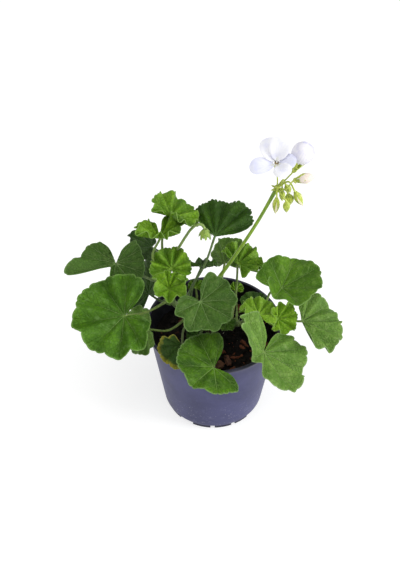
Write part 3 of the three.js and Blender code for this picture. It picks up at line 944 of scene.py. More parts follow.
@dataclass
class Leaf:
    """One leaf: a blade on a petiole that springs from a shoot."""

    name: str
    start: Place
    by: Place | tuple[Place, ...]
    blade: Blade
    kind: LeafKind = LeafKind.MATURE
    petiole: float = 1.05

    def build(self, finishes: dict[LeafKind, list[bpy.types.Material]]) -> None:
        """Make the leaf and put it in its node's place.

        Args:
            finishes: The materials of each kind of leaf.
        """
        faces = finishes[self.kind]
        sheet = self.blade.build(self.name)
        dress(sheet, *faces)
        below = tuple(np.asarray(self.blade.at) - 0.25 * self.blade.normal)
        radii = [self.petiole * share for share in PETIOLE_TAPER]
        stem = stalk(f"{self.name}_petiole", (self.start, *self.passing(), below), radii, bumps=0.03)
        dress(stem, faces[3])
        settle(self.name, [sheet, stem], self.name)

    def passing(self) -> tuple[Place, ...]:
        """The points that the petiole passes between its foot and the blade."""
        return self.by if isinstance(self.by[0], tuple) else (self.by,)


def young(**changes: object) -> dict[str, object]:
    """What young leaves share: deep pleats, many teeth and strong crinkles."""
    shared = {
        "pleat": 8.0, "dip": 0.06, "teeth": 4, "tooth_depth": 0.055, "ruffle": 6.0, "groove": 0.2,
        "puff": 0.35, "crinkle": 0.22, "corner": 0.7, "columns": 22, "rows": 18,
    }
    return {**shared, **changes}


def small(**changes: object) -> dict[str, object]:
    """What small leaves share: a coarser mesh and lighter relief."""
    shared = {"tooth_depth": 0.06, "puff": 0.15, "crinkle": 0.05, "columns": 14, "rows": 12}
    return {**shared, **changes}


def plant_leaves() -> list[Leaf]:
    """List the plant's leaves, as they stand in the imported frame."""
    return [
        Leaf("leaf_left_large", (-38, 7, 117), (-58, -14, 122), Blade(
            (-76, -29, 132), 190, 20, -125, 41, 40, (20, 10, 10, 20, 20, 10, 0, 0, 10),
            (0.86, 0.95, 1, 1.06, 1.09, 1.03, 0.96, 0.86, 0.68), pleat=4.0, ruffle=2.0)),
        Leaf("leaf_left_upper", (-41, 10, 130), (-62, 14, 138), Blade(
            (-86, 26, 142), -90, 5, 180, 38, 50, (40, 29, 22, 13, 14, -24, -28, -15, -2, 5, 12, 20),
            (0.6, 0.76, 0.84, 1.22, 0.22, 0.5, 0.7, 0.86, 0.74, 0.68, 0.66, 0.76), dip=0.02, teeth=2,
            tooth_depth=0.025, ruffle=1.5), LeafKind.GREYED),
        Leaf("leaf_left_rear", (-42, 11, 137), (-46, 32, 142), Blade(
            (-56, 58, 133), -150, 30, 10, 24, 70), LeafKind.DUSKY),
        Leaf("leaf_left_shaded", (-36, 9, 110), (-48, 16, 106), Blade(
            (-58, 22, 109), 105, 55, -165, 35, 60, 10, (0.7, 0.9, 1, 1, 0.9, 0.7, 0.6)), LeafKind.SHADED),
        Leaf("leaf_left_low", (-22, 6, 97), (-40, -10, 95), Blade(
            (-57, -14, 100), 155, 60, -145, 26, 60, 20), LeafKind.LIGHT),
        Leaf("leaf_front_yellowed", (-14, 5, 91), (-26, -16, 104), Blade(
            (-28, -38, 106), 170, 75, -125, 21.5, 50, 38, tooth_depth=0.05), LeafKind.YELLOWED),
        Leaf("leaf_front", (-2, 3, 83), (0, -32, 104), Blade(
            (-1, -67, 110), -165, 5, 90, 33, 80, (30, 20, 20, 20, 10, 0, -10),
            (0.94, 1.02, 1.02, 1, 1, 0.95, 0.95), dip=0.025, teeth=4, tooth_depth=0.035, ruffle=1.5),
            LeafKind.DEEP),
        Leaf("leaf_centre", (0, 8, 106), (-8, 2, 130), Blade(
            (-12, -22, 142), -50, 25, -55, 31, 60, (10, 10, 10, 10, 20, 20, 20, 20),
            (0.6, 0.9, 1, 1, 1, 1, 0.95, 0.9), dip=0.07, ruffle=4.0), LeafKind.GREYED),
        Leaf("leaf_right_front", (22, 0, 94), (36, -28, 106), Blade(
            (41, -52.5, 112.5), -90, 40, 5, 44, 26, (30, 22, 20, 6, 0, 8, 20, 30, 20),
            (0.77, 0.87, 0.82, 0.50, 0.67, 0.98, 0.87, 0.87, 0.8), dip=0.02, pleat=4.0, tooth_depth=0.05,
            ruffle=4.0), LeafKind.LIGHT),
        Leaf("leaf_right_far", (40, -5, 107), (58, -9, 106), Blade(
            (76, -14, 110.5), 20, 40, -5, 36, 128, (20, 20, 30, 30, 20, 20, 20),
            (0.98, 1.08, 1.04, 1, 1, 0.95, 0.72), pleat=4.0, dip=0.03), LeafKind.LIGHT),
        Leaf("leaf_right_upper", (42, -5, 110), (49, 6, 126), Blade(
            (57.5, -3, 139.5), 0, 5, 5, 35, 4, (52, 26, 20, 26, 28, 20, 20, 2),
            (0.72, 0.88, 0.95, 1.06, 1.04, 0.95, 0.86, 0.74), dip=0.03, ruffle=2.0), LeafKind.VEINED),
        Leaf("leaf_right_young_a", (34, -3, 100), (35, -9, 108), Blade(
            (38, -14, 118), 100, 15, 85, 18, 60, (-20, 10, 30, 30, 30, 30, 20),
            (0.95, 0.95, 1, 1.05, 1.05, 1, 1), **young()), LeafKind.BRIGHT),
        Leaf("leaf_right_young_b", (42, -7, 108), (47, -10, 110), Blade(
            (55, -12, 111.5), 25, 50, -55, 18, 40, 30, **young()), LeafKind.BRIGHT),
        Leaf("leaf_top_centre", (-28, 8, 105), ((-19, 8, 132), (-8, 9, 157)), Blade(
            (0, 16, 181.5), 70, 25, -95, 34, 226, 0, (1.08, 1.18, 1.04, 1, 0.95), pleat=4.0, ruffle=3.0,
            dip=0.03, teeth=5, tooth_depth=0.05), LeafKind.SHADED),
        Leaf("leaf_top_left", (-42, 11, 142), (-45, 30, 165), Blade(
            (-37, 26, 195), 60, 25, 0, 24.5, 50, (40, 24, 16, 10, 10, 18, 16, 14),
            (0.86, 0.97, 1.02, 1.1, 1.06, 1.02, 0.90, 0.74), **young()), LeafKind.YOUNG),
        Leaf("leaf_mid_left", (-43, 9, 136), (-53, 14, 160), Blade(
            (-46, 14, 181), -85, 5, 100, 25, 30, (45, 40, 35, 45, 45, 34, 38, 42),
            (0.75, 0.95, 1.04, 0.72, 0.62, 0.92, 1.08, 1.0), **young()), LeafKind.YOUNG),
        Leaf("leaf_young_upper", (-41, 8, 137), (-39, 5, 146), Blade(
            (-37, 6, 153.5), 90, 28, -90, 20.5, 48, (10, 6, 4, 4, 4, 4, 6, 10),
            (0.8, 0.86, 0.94, 1.02, 1.0, 0.98, 0.92, 0.84), **young()), LeafKind.YOUNG),
        Leaf("leaf_young_lower", (-40, 6, 128), (-40, -1, 136), Blade(
            (-38.5, -8, 143), -90, 8, -5, 18.5, 2, (56, 40, 22, 12, 22, 40, 56),
            (0.92, 1, 0.96, 1, 0.96, 1, 0.9), **young(corner=0.95)), LeafKind.YOUNG),
        Leaf("leaf_rear_young", (15, 3, 90), (20, 26, 108), Blade(
            (21, 33, 135), 40, 15, 15, 23, 90, 18, (0.95, 0.95, 1, 1, 1.1, 1.02, 0.95, 0.8), **young()),
            LeafKind.YOUNG),
        Leaf("leaf_rear", (2, 11, 122), (6, 28, 116), Blade(
            (10, 52, 119), 100, 70, -130, 24, 120, -20, (0.9, 0.9, 1.1, 1, 1, 0.9, 0.9)), LeafKind.LIGHT),
        Leaf("leaf_edge_on", (-19, 7, 96), (-20, 12, 120), Blade(
            (-11, 21, 143), 40, 25, 100, 14, 60, 10, **young(pleat=6.0)), LeafKind.SHADED),
        Leaf("leaf_tiny_rear", (20, 1, 93), (21, 22, 92), Blade(
            (20, 35, 100), 70, 25, -95, 9, 180, 0, **young(columns=10, rows=10)), LeafKind.YOUNG),
        Leaf("leaf_low_rear", (30, -2, 97), (34, 14, 92), Blade(
            (36, 21, 98), 90, 5, 115, 14, 60, 10, **small()), LeafKind.SHADED),
        Leaf("leaf_low_centre", (-8, 4, 86), (-11, -4, 87), Blade(
            (-15, -11, 88), -155, 5, 90, 10, 60, 10, **small()), LeafKind.SHADED),
        Leaf("leaf_low_right", (10, 2, 87), (11, 0, 90), Blade(
            (11, 1, 94), -100, 10, -100, 11, 90, 10, **small()), LeafKind.DEEP),
        Leaf("leaf_small_centre", (-16, 8, 95), (-15, 14, 108), Blade(
            (-16, 16, 122), 80, 20, -90, 9, 120, 0, **young(columns=10, rows=10)), LeafKind.YOUNG),
    ]


# Pot and soil


@dataclass
class NurseryPot:
    """The pot: a thin moulded wall, a turned lip, a raised floor and a notched foot."""

    rim: float = 60.0
    height: float = 95.0
    lip_width: float = 1.4
    lip_height: float = 2.4
    wall: float = 1.3
    foot: float = 43.4
    foot_height: float = 5.0
    foot_step: float = 1.4
    foot_ring: float = 6.0
    floor: float = 1.6
    sides: int = 144
    wide_notch: float = -125.0
    wide_width: float = 14.0
    narrow_notches: tuple[float, float] = (34.0, 60.0)
    narrow_width: float = 4.0
    notch_height: float = 4.7
    drains: int = 6
    drain_reach: tuple[float, float] = (22.0, 34.0)
    drain_width: float = 3.5
    overcut: float = 1.0

    def wall_radius(self, height: float) -> float:
        """The wall's outer radius at a height."""
        base = self.foot + self.foot_step
        return base + (self.rim - self.lip_width - base) * height / self.height

    def inner_radius(self, height: float) -> float:
        """The wall's inner radius at a height."""
        return self.wall_radius(height) - self.wall

    def profile(self) -> list[tuple[float, float]]:
        """The radii and heights of the pot's rings, from the middle of its underside to its floor.

        The small steps beside each corner round it.
        """
        lip = self.height - self.lip_height
        top = self.height
        floor_top = self.foot_height + self.floor
        foot, raised, rim = self.foot, self.foot_height, self.rim
        centre, wall_base = 4.0, self.wall_radius(raised)
        rings = [(centre, raised), (foot - 3.2, raised), (foot - 2.6, raised - 0.6)]
        rings += [(foot - 2.05, 0.25), (foot - 1.8, 0.0), (foot - 0.25, 0.0), (foot, 0.25)]
        rings += [(foot, raised - 0.3), (foot + 0.3, raised)]
        rings += [(wall_base - 0.35, raised + 0.15), (wall_base, raised + 0.8)]
        for height in np.linspace(raised + 1.4, lip - 0.5, 15):
            rings.append((self.wall_radius(height), height))
        rings += [(self.wall_radius(lip) + 0.15, lip - 0.05), (rim - 0.5, lip), (rim - 0.15, lip + 0.3)]
        rings += [(rim, lip + 0.8), (rim, top - 0.8), (rim - 0.15, top - 0.35)]
        rings += [(rim - 0.5, top - 0.05), (rim - 0.9, top)]
        inner = self.inner_radius(top)
        rings += [(inner + 0.5, top), (inner + 0.12, top - 0.15), (inner, top - 0.6)]
        for height in np.linspace(top, floor_top + 1.5, 9)[1:]:
            rings.append((self.inner_radius(height), height))
        corner = self.inner_radius(floor_top)
        rings += [(corner - 0.4, floor_top + 0.5), (corner - 1.6, floor_top)]
        rings += [(30.0, floor_top), (centre, floor_top)]
        return rings

    def _raise_shell(self) -> bpy.types.Object:
        """Raise the shell ring by ring from a circle, then close both ends."""
        rings = self.profile()
        centre = (AXIS.x, AXIS.y, 0.0)
        radius, height = rings[0]
        clear_selection()
        bottom = (AXIS.x, AXIS.y, height * MM)
        bpy.ops.mesh.primitive_circle_add(
            vertices=self.sides, radius=radius * MM, fill_type="NGON", location=bottom
        )
        shell = bpy.context.object
        bpy.ops.object.mode_set(mode="EDIT")
        bpy.ops.mesh.select_all(action="SELECT")
        for next_radius, next_height in rings[1:]:
            bpy.ops.mesh.extrude_region_move(
                TRANSFORM_OT_translate={"value": (0, 0, (next_height - height) * MM)}
            )
            scale = next_radius / radius
            bpy.ops.transform.resize(value=(scale, scale, 1), center_override=centre)
            radius, height = next_radius, next_height
        bpy.ops.object.mode_set(mode="OBJECT")
        bpy.ops.object.transform_apply(location=True, rotation=True, scale=True)
        weld(shell, closed=True)
        return shell

    @staticmethod
    def _block(
        turn: float, reach: tuple[float, float], width: float, heights: tuple[float, float]
    ) -> bpy.types.Object:
        """Add a block that lies along a compass turn, to cut with.

        Args:
            turn: The compass turn.
            reach: How far from the axis it starts and ends.
            width: Its width.
            heights: Its lowest and highest level.

        Returns:
            The block.
        """
        clear_selection()
        bpy.ops.mesh.primitive_cube_add(size=1.0)
        block = bpy.context.object
        corners = read_vertices(block) + np.array([0.5, 0.0, 0.5])
        sizes = [reach[1] - reach[0], width, heights[1] - heights[0]]
        corners = corners * sizes + [reach[0], 0.0, heights[0]]
        turning = np.array(Matrix.Rotation(math.radians(turn), 3, "Z"))
        write_vertices(block, AXIS.metres(corners @ turning.T))
        return block

    def _cut(self, shell: bpy.types.Object) -> None:
        """Cut the foot's notches and the drain slots."""
        blocks = []
        ring = (self.foot - self.foot_ring, self.foot + 1.5 * self.overcut)
        notch = (-self.overcut, self.notch_height)
        for quarter in range(4):
            start = self.wide_notch + 90 * quarter
            blocks.append(self._block(start, ring, self.wide_width, notch))
            for offset in self.narrow_notches:
                blocks.append(self._block(start + offset, ring, self.narrow_width, notch))
        through = (self.overcut, self.foot_height + self.floor + self.overcut)
        for index in range(self.drains):
            turn = 360 / self.drains * index
            blocks.append(self._block(turn, self.drain_reach, self.drain_width, through))
        cutter = joined("pot_cutter", blocks)
        make_active(shell)
        cut = shell.modifiers.new("Cut", "BOOLEAN")
        cut.operation = "DIFFERENCE"
        cut.solver = "EXACT"
        cut.object = cutter
        bpy.ops.object.modifier_apply(modifier=cut.name)
        bpy.data.objects.remove(cutter, do_unlink=True)

    def outer_plastic(self) -> bpy.types.Material:
        """Lavender blue plastic outside, with fine scuffs and a few pale specks, and painted shade on the
        foot ring.
        """
        graph = Graph("pot_lavender")
        at = graph.place()
        _, _, height = graph.split(at)
        broad = graph.noise(at, 34.0, 3.0)
        cloudy = graph.noise(at, 5.0, 4.0)
        grain = graph.noise(at, 0.45, 2.0)
        brushed = graph.noise(at, 3.0, 3.0, stretch=(0.5, 0.5, 5.0))
        colour = graph.mix((0.032, 0.034, 0.104), (0.052, 0.054, 0.150), broad.ramp(0.3, 0.7))
        colour = graph.mix(colour, (0.090, 0.094, 0.220), cloudy.ramp(0.5, 0.8) * 0.35)
        low = 1 - height.ramp(0.012, 0.05)
        specks = graph.noise(at, 1.4, 1.0).ramp(0.68, 0.76) * low
        streaks = brushed.ramp(0.58, 0.72) * low * cloudy.ramp(0.45, 0.6)
        colour = graph.mix(colour, (0.34, 0.34, 0.42), (specks * 0.75 + streaks * 0.5).least(0.8))
        # Painted shade: the foot ring, below about 5 mm, is painted dark navy for the shade under the
        # wall.
        clear_of_foot_shade = (height + 0.002 * (cloudy - 0.5)).ramp(0.0042, 0.0056)
        colour = graph.mix((0.020, 0.020, 0.048), colour, clear_of_foot_shade)
        return graph.surface(
            Base_Color=colour,
            Roughness=0.42 + 0.16 * cloudy - 0.05 * brushed,
            Specular_IOR_Level=0.3,
            Normal=graph.relief(grain * 0.6 + brushed * 0.4, 0.05, 0.5),
        )

    def inner_plastic(self) -> bpy.types.Material:
        """Black plastic inside and on the lip."""
        graph = Graph("pot_black")
        at = graph.place()
        broad = graph.noise(at, 12.0, 3.0)
        grain = graph.noise(at, 0.5, 2.0)
        colour = graph.mix((0.005, 0.005, 0.007), (0.012, 0.012, 0.018), broad)
        return graph.surface(
            Base_Color=colour,
            Roughness=0.38 + 0.2 * broad,
            Normal=graph.relief(grain, 0.05, 0.5),
        )

    def lip_plastic(self) -> bpy.types.Material:
        """The lip, where the dark inner layer turns over the blue one."""
        graph = Graph("pot_lip")
        at = graph.place()
        broad = graph.noise(at, 9.0, 3.0)
        colour = graph.mix((0.016, 0.017, 0.034), (0.038, 0.038, 0.075), broad.ramp(0.35, 0.7))
        return graph.surface(Base_Color=colour, Roughness=0.34 + 0.15 * broad)

    def build(self) -> None:
        """Make the pot and put it in its node's place."""
        shell = self._raise_shell()
        self._cut(shell)
        dress(shell, self.outer_plastic(), self.inner_plastic(), self.lip_plastic())
        outside, inside, lip = range(3)
        for face in shell.data.polygons:
            x, y, z = face.center
            radius = math.hypot(x - AXIS.x, y - AXIS.y) / MM
            height = z / MM
            middle = self.wall_radius(height) - self.wall / 2
            if height > self.height - self.lip_height + 0.9:
                face.material_index = lip
            elif height > self.foot_height + 0.7 and radius < middle:
                face.material_index = inside
            else:
                face.material_index = outside
        settle("nursery_pot", [shell], "pot", 35.0)


@dataclass(frozen=True)
class Grains:
    """One kind of loose grain: its count, its half lengths, its flatness and its roundness."""

    count: int
    smallest: float
    largest: float
    flat: float
    detail: int


@dataclass
class SoilBed:
    """Dark potting mix with crumbs and pale grains on top."""

    pot: NurseryPot
    level: float = 77.0
    sides: int = 168
    rows: int = 56
    crumbs: Grains = Grains(640, 0.5, 3.0, 0.55, 2)
    pale_grains: Grains = Grains(44, 0.3, 0.9, 0.8, 1)
    seed: int = 7

    def top(self, x: np.ndarray, y: np.ndarray) -> np.ndarray:
        """The soil's height at a place."""
        distance = np.hypot(x, y)
        crown = self.level - 2.2 * (distance / 50) ** 2
        lumps = np.sin(x / 5.1) * np.cos(y / 6.3)
        lumps = lumps + 0.55 * np.sin(x / 2.3 + y / 3.1) * np.cos(y / 1.9 - x / 4.7)
        return crown + lumps + 0.35 * np.sin(x * 1.7 + 2) * np.sin(y * 1.9)

    def _bed(self) -> bpy.types.Object:
        """Make the bed as one closed body."""
        floor = self.pot.foot_height + self.pot.floor + 0.4
        edge = self.pot.inner_radius(self.level - 4) - 0.4
        base = self.pot.inner_radius(floor) - 0.4
        lower = [(0.0, floor), (base * 0.5, floor), (base, floor), (edge, self.level - 4.5)]
        top_rows = self.rows - len(lower)
        radii = np.array([radius for radius, _ in lower] + list(np.linspace(edge, 0, top_rows + 1)))
        heights = np.array([height for _, height in lower] + [0.0] * (top_rows + 1))

        def form(across: np.ndarray, along: np.ndarray) -> np.ndarray:
            """Lay the bed's rings."""
            row = np.rint(along * self.rows).astype(int)
            angle = across * 2 * math.pi
            x = radii[row] * np.cos(angle)
            y = radii[row] * np.sin(angle)
            z = np.where(row >= len(lower), self.top(x, y), heights[row])
            return np.stack([x, y, z], axis=1)

        bed, _ = formed_sheet("soil_bed", self.sides, self.rows, form)
        drop_map(bed)
        weld(bed, closed=True)
        return bed

    def _scatter(self, kind: Grains, random: np.random.Generator) -> bpy.types.Object:
        """Scatter rough grains over the bed, as one mesh.

        Args:
            kind: What grains they are.
            random: The seeded source of chance.

        Returns:
            The grains.
        """
        clear_selection()
        bpy.ops.mesh.primitive_ico_sphere_add(subdivisions=kind.detail, radius=1.0)
        grains = bpy.context.object
        shape = read_vertices(grains)
        copies = grains.modifiers.new("Copies", "ARRAY")
        copies.count = kind.count
        copies.use_relative_offset = False
        bpy.ops.object.modifier_apply(modifier=copies.name)
        places, tones = [], []
        limit = self.pot.inner_radius(self.level) - 1.0
        for _ in range(kind.count):
            size = kind.smallest + (kind.largest - kind.smallest) * random.random() ** 2.2
            away = (limit - 2.2 * size) * math.sqrt(random.random())
            turn = random.random() * 2 * math.pi
            x, y = away * math.cos(turn), away * math.sin(turn)
            z = float(self.top(np.array([x]), np.array([y]))[0])
            rough = shape * (1 + 0.3 * random.standard_normal((len(shape), 1)).clip(-1, 1))
            stretch = np.array([1.0 + random.random(), 0.7, kind.flat])
            twist = Matrix.Rotation(random.random() * 6.28, 3, "Z")
            twist = twist @ Matrix.Rotation(random.uniform(-0.5, 0.5), 3, "X")
            grain = (rough * stretch * size) @ np.array(twist).T
            places.append(grain + np.array([x, y, z + size * kind.flat * 0.35]))
            tones.append(np.full(len(shape), random.random()))
        write_vertices(grains, AXIS.metres(np.vstack(places)))
        tone = grains.data.attributes.new("Tone", "FLOAT", "POINT")
        tone.data.foreach_set("value", np.concatenate(tones))
        drop_map(grains)
        return grains

    def mix(self) -> bpy.types.Material:
        """Dark, damp potting mix."""
        graph = Graph("potting_mix")
        at = graph.place()
        clods = graph.noise(at, 5.0, 5.0)
        fine = graph.noise(at, 0.9, 4.0)
        fibres = graph.noise(at, 2.2, 3.0, stretch=(1.0, 4.0, 1.0))
        colour = graph.mix((0.002, 0.0013, 0.001), (0.010, 0.006, 0.004), clods.ramp(0.35, 0.75))
        colour = graph.mix(colour, (0.07, 0.032, 0.017), fibres.ramp(0.66, 0.8) * 0.6)
        colour = graph.mix(colour, (0.30, 0.25, 0.19), fine.ramp(0.74, 0.82) * 0.5)
        return graph.surface(
            Base_Color=colour,
            Roughness=0.9 - 0.25 * clods,
            Specular_IOR_Level=0.2,
            Normal=graph.relief(clods + fine * 0.6, 0.8, 0.9),
        )

    def crumb(self) -> bpy.types.Material:
        """Crumbs of peat and bark, from black to reddish brown."""
        graph = Graph("soil_crumb")
        at = graph.place()
        tone = graph.node("ShaderNodeAttribute", {"attribute_name": "Tone"}, output="Fac")
        fine = graph.noise(at, 0.7, 3.0)
        colour = graph.mix((0.002, 0.0015, 0.001), (0.012, 0.007, 0.005), tone.ramp(0.2, 0.75))
        colour = graph.mix(colour, (0.19, 0.062, 0.030), tone.ramp(0.76, 0.95))
        colour = graph.mix(colour, (0.02, 0.012, 0.008), fine.ramp(0.5, 0.7) * 0.6)
        normal = graph.relief(fine, 0.3, 0.8)
        return graph.surface(Base_Color=colour, Roughness=0.8, Specular_IOR_Level=0.2, Normal=normal)

    def pale(self) -> bpy.types.Material:
        """Pale mineral grains."""
        graph = Graph("pale_grain")
        fine = graph.noise(graph.place(), 0.6, 3.0)
        colour = graph.mix((0.55, 0.52, 0.46), (0.30, 0.26, 0.21), fine.ramp(0.45, 0.65))
        return graph.surface(Base_Color=colour, Roughness=0.8, Normal=graph.relief(fine, 0.2, 0.8))

    def build(self) -> None:
        """Make the soil and put it in its node's place."""
        random = np.random.default_rng(self.seed)
        bed = self._bed()
        crumbs = self._scatter(self.crumbs, random)
        grains = self._scatter(self.pale_grains, random)
        dress(bed, self.mix())
        dress(crumbs, self.crumb())
        dress(grains, self.pale())
        settle("potting_soil", [bed, crumbs, grains], "soil", 50.0)


@dataclass
class BarkChip:
    """One loose chip of bark: a split, fibrous flake."""

    number: int
    at: tuple[float, float]
    size: Place
    turn: float
    lean: float
    rest: float = 79.9

    @staticmethod
    def bark() -> bpy.types.Material:
        """Reddish brown bark with dark splits and pale broken fibres."""
        graph = Graph("bark")
        at = graph.place()
        grain = graph.noise(at, 1.6, 4.0, stretch=(3.0, 0.8, 1.5))
        broad = graph.noise(at, 4.0, 3.0)
        colour = graph.mix((0.045, 0.016, 0.010), (0.20, 0.080, 0.042), broad.ramp(0.3, 0.7))
        colour = graph.mix(colour, (0.38, 0.21, 0.13), grain.ramp(0.6, 0.8) * 0.7)
        return graph.surface(Base_Color=colour, Roughness=0.8, Normal=graph.relief(grain, 0.5, 0.9))

    def build(self, material: bpy.types.Material) -> None:
        """Make the chip and put it in its node's place.

        Args:
            material: The bark.
        """
        clear_selection()
        bpy.ops.mesh.primitive_cube_add(size=1.0)
        chip = bpy.context.object
        bpy.ops.object.mode_set(mode="EDIT")
        bpy.ops.mesh.select_all(action="SELECT")
        bpy.ops.mesh.subdivide(number_cuts=7)
        bpy.ops.object.mode_set(mode="OBJECT")
        shape = read_vertices(chip)
        length, width, height = self.size
        x, y, z = shape.T
        taper = 1 - 1.3 * np.abs(x) ** 2.2
        ragged = 1 + 0.12 * np.sin(9 * x + 5 * self.number) + 0.10 * np.sin(23 * y + 17 * z)
        split = 0.10 * np.sin(28 * y + 3 * x) * (np.abs(z) > 0.45)
        bend = 0.35 * x**2
        long = x * length * ragged
        wide = y * width * taper * ragged
        tall = (z + split + bend) * height * taper
        turning = Matrix.Rotation(math.radians(self.turn), 3, "Z")
        turning = turning @ Matrix.Rotation(math.radians(self.lean), 3, "X")
        rows = np.stack([long, wide, tall], axis=1) @ np.array(turning).T + [*self.at, self.rest]
        write_vertices(chip, AXIS.metres(rows))
        dress(chip, material)
        settle(f"bark_flake_{self.number}", [chip], f"bark_chip_{self.number}", 40.0)


BARK_CHIPS = (
    BarkChip(1, (3, -40), (13, 6, 3.2), 50, 8),
    BarkChip(2, (-8, -36), (10, 5, 3), -35, -10),
    BarkChip(3, (12, -33), (11, 4.5, 3.4), 105, 10),
    BarkChip(4, (-36, -22), (10, 6, 3), 20, 6),
    BarkChip(5, (-17, 26), (12, 6, 3.4), 15, 6),
)


# Stems


@dataclass(frozen=True)
class StemFinish:
    """The green skin of shoots, flower stalks and pedicels."""

    name: str
    light: Colour
    dark: Colour
    woody: Colour | None = None

    def build(self) -> bpy.types.Material:
        """Make the material."""
        graph = Graph(self.name)
        at = graph.place()
        _, _, height = graph.split(at)
        streaks = graph.noise(at, 2.2, 3.0, stretch=(1.0, 1.0, 0.25))
        fuzz = graph.noise(at, 0.3, 2.0)
        colour = graph.mix(self.dark, self.light, streaks.ramp(0.3, 0.7))
        if self.woody:
            colour = graph.mix(self.woody, colour, (height + 0.006 * streaks).ramp(0.078, 0.108))
        return graph.surface(
            Base_Color=colour,
            Roughness=0.5,
            Subsurface_Weight=0.1,
            Subsurface_Radius=(0.5, 1.0, 0.2),
            Subsurface_Scale=0.001,
            Sheen_Weight=0.3,
            Normal=graph.relief(fuzz + streaks * 0.5, 0.1, 0.6),
        )


@dataclass
class MainStem:
    """The woody base and its three green shoots, with a pair of stipules at each leaf."""

    collar: Place = (-3, 4, 62)
    left: tuple[Place, ...] = ((-5, 5, 80), (-20, 7, 96), (-36, 8, 112), (-41, 9, 128), (-42, 11, 143))
    centre: tuple[Place, ...] = ((-2, 5, 82), (1, 8, 108), (3, 12, 139))
    right: tuple[Place, ...] = ((0, 4, 80), (16, 1, 90), (34, -3, 100), (42, -6, 110))
    radii: tuple[float, float, float] = (3.0, 2.8, 2.7)
    taper: tuple[float, ...] = (1.1, 1.05, 1.0, 0.98, 0.95, 0.8, 0.35)

    def build(self, leaves: Sequence[Leaf]) -> None:
        """Make the stem and put it in its node's place.

        Args:
            leaves: The leaves, for the stipules at their feet.
        """
        skin = StemFinish("shoot", (0.21, 0.31, 0.08), (0.10, 0.17, 0.04), (0.085, 0.052, 0.030)).build()
        leafy = StemFinish("stipule", (0.26, 0.38, 0.10), (0.14, 0.25, 0.05)).build()
        shoots = []
        paths = {"left": self.left, "centre": self.centre, "right": self.right}
        for (name, path), radius in zip(paths.items(), self.radii):
            widths = [radius * share for share in self.taper]
            points = (self.collar, *path)
            shoots.append(stalk(f"shoot_{name}", points, widths, sides=20, steps=60, bumps=0.06))
            dress(shoots[-1], skin, leafy)
        stipules = [self._stipule(leaf, hand) for leaf in leaves for hand in (-1, 1)]
        for stipule in stipules:
            dress(stipule, skin, leafy)
            paint(stipule, 1)
        settle("shoots", shoots + stipules, "main_stem")

    def _stipule(self, leaf: Leaf, hand: int) -> bpy.types.Object:
        """Make one small pointed stipule beside a petiole's foot."""
        start = np.asarray(leaf.start, float)
        way = unit(np.asarray(leaf.passing()[0], float) - start)
        aside = unit(np.cross(way, [0.0, 0.0, 1.0])) * hand
        upright = np.cross(aside, way) * hand
        root = start + way * 1.2 + aside * 1.6

        def form(across: np.ndarray, along: np.ndarray) -> np.ndarray:
            """Lay a pointed, cupped scale."""
            wide = 1.9 * np.sqrt(np.clip(1 - along, 0, 1)) * (0.55 + 0.45 * np.sin(np.pi * along))
            lie = (across - 0.5)[:, None] * 2 * wide[:, None]
            cup = (1.2 * (across - 0.5) ** 2 + 0.9 * along**2)[:, None]
            return root + along[:, None] * 4.6 * way + lie * upright + cup * 1.4 * aside

        return thin_piece(f"stipule_{leaf.name}_{hand}", (6, 8), form, 0.35)


# Flowers

PETAL_LINES = 5.0


@dataclass(frozen=True)
class PetalFinish:
    """White petals, tinted lavender, with faint lines from the claw.

    depth is how much light sinks in; the last number is how strongly one side of each petal takes the
    tint, as painted shade on that side.
    """

    name: str = "petal"
    white: Colour = (0.90, 0.90, 0.95)
    tint: Colour = (0.70, 0.71, 0.93)
    claw: Colour = (0.86, 0.88, 0.80)
    depth: float = 0.2
    side_shade: float = 0.0

    def build(self) -> bpy.types.Material:
        """Make the material."""
        graph = Graph(self.name)
        at = graph.place()
        along, out = graph.laid("Blade")
        lines = abs((along * 3.0 + graph.noise(at, 4.0) * 0.3).part() - 0.5) * 2
        soft = graph.noise(at, 6.0, 2.0)
        colour = graph.mix(self.white, self.tint, soft.ramp(0.42, 0.75) * 0.5)
        colour = graph.mix(colour, self.tint, lines.ramp(0.7, 1.0) * (1 - out.ramp(0.5, 1.0)) * 0.4)
        colour = graph.mix(colour, self.claw, 1 - out.ramp(0.05, 0.22))
        # Painted shade: one side of each petal takes the lavender tint, for the shaded edges of the ball.
        colour = graph.mix(colour, self.tint, (along / PETAL_LINES).ramp(0.44, 0.86) * self.side_shade)
        return graph.surface(
            Base_Color=colour,
            Roughness=0.5,
            Specular_IOR_Level=0.25,
            Subsurface_Weight=self.depth,
            Subsurface_Radius=(1.0, 1.0, 1.1),
            Subsurface_Scale=0.001,
            Sheen_Weight=0.15,
            Normal=graph.relief(lines * (1 - out) + soft, 0.12, 0.4),
        )


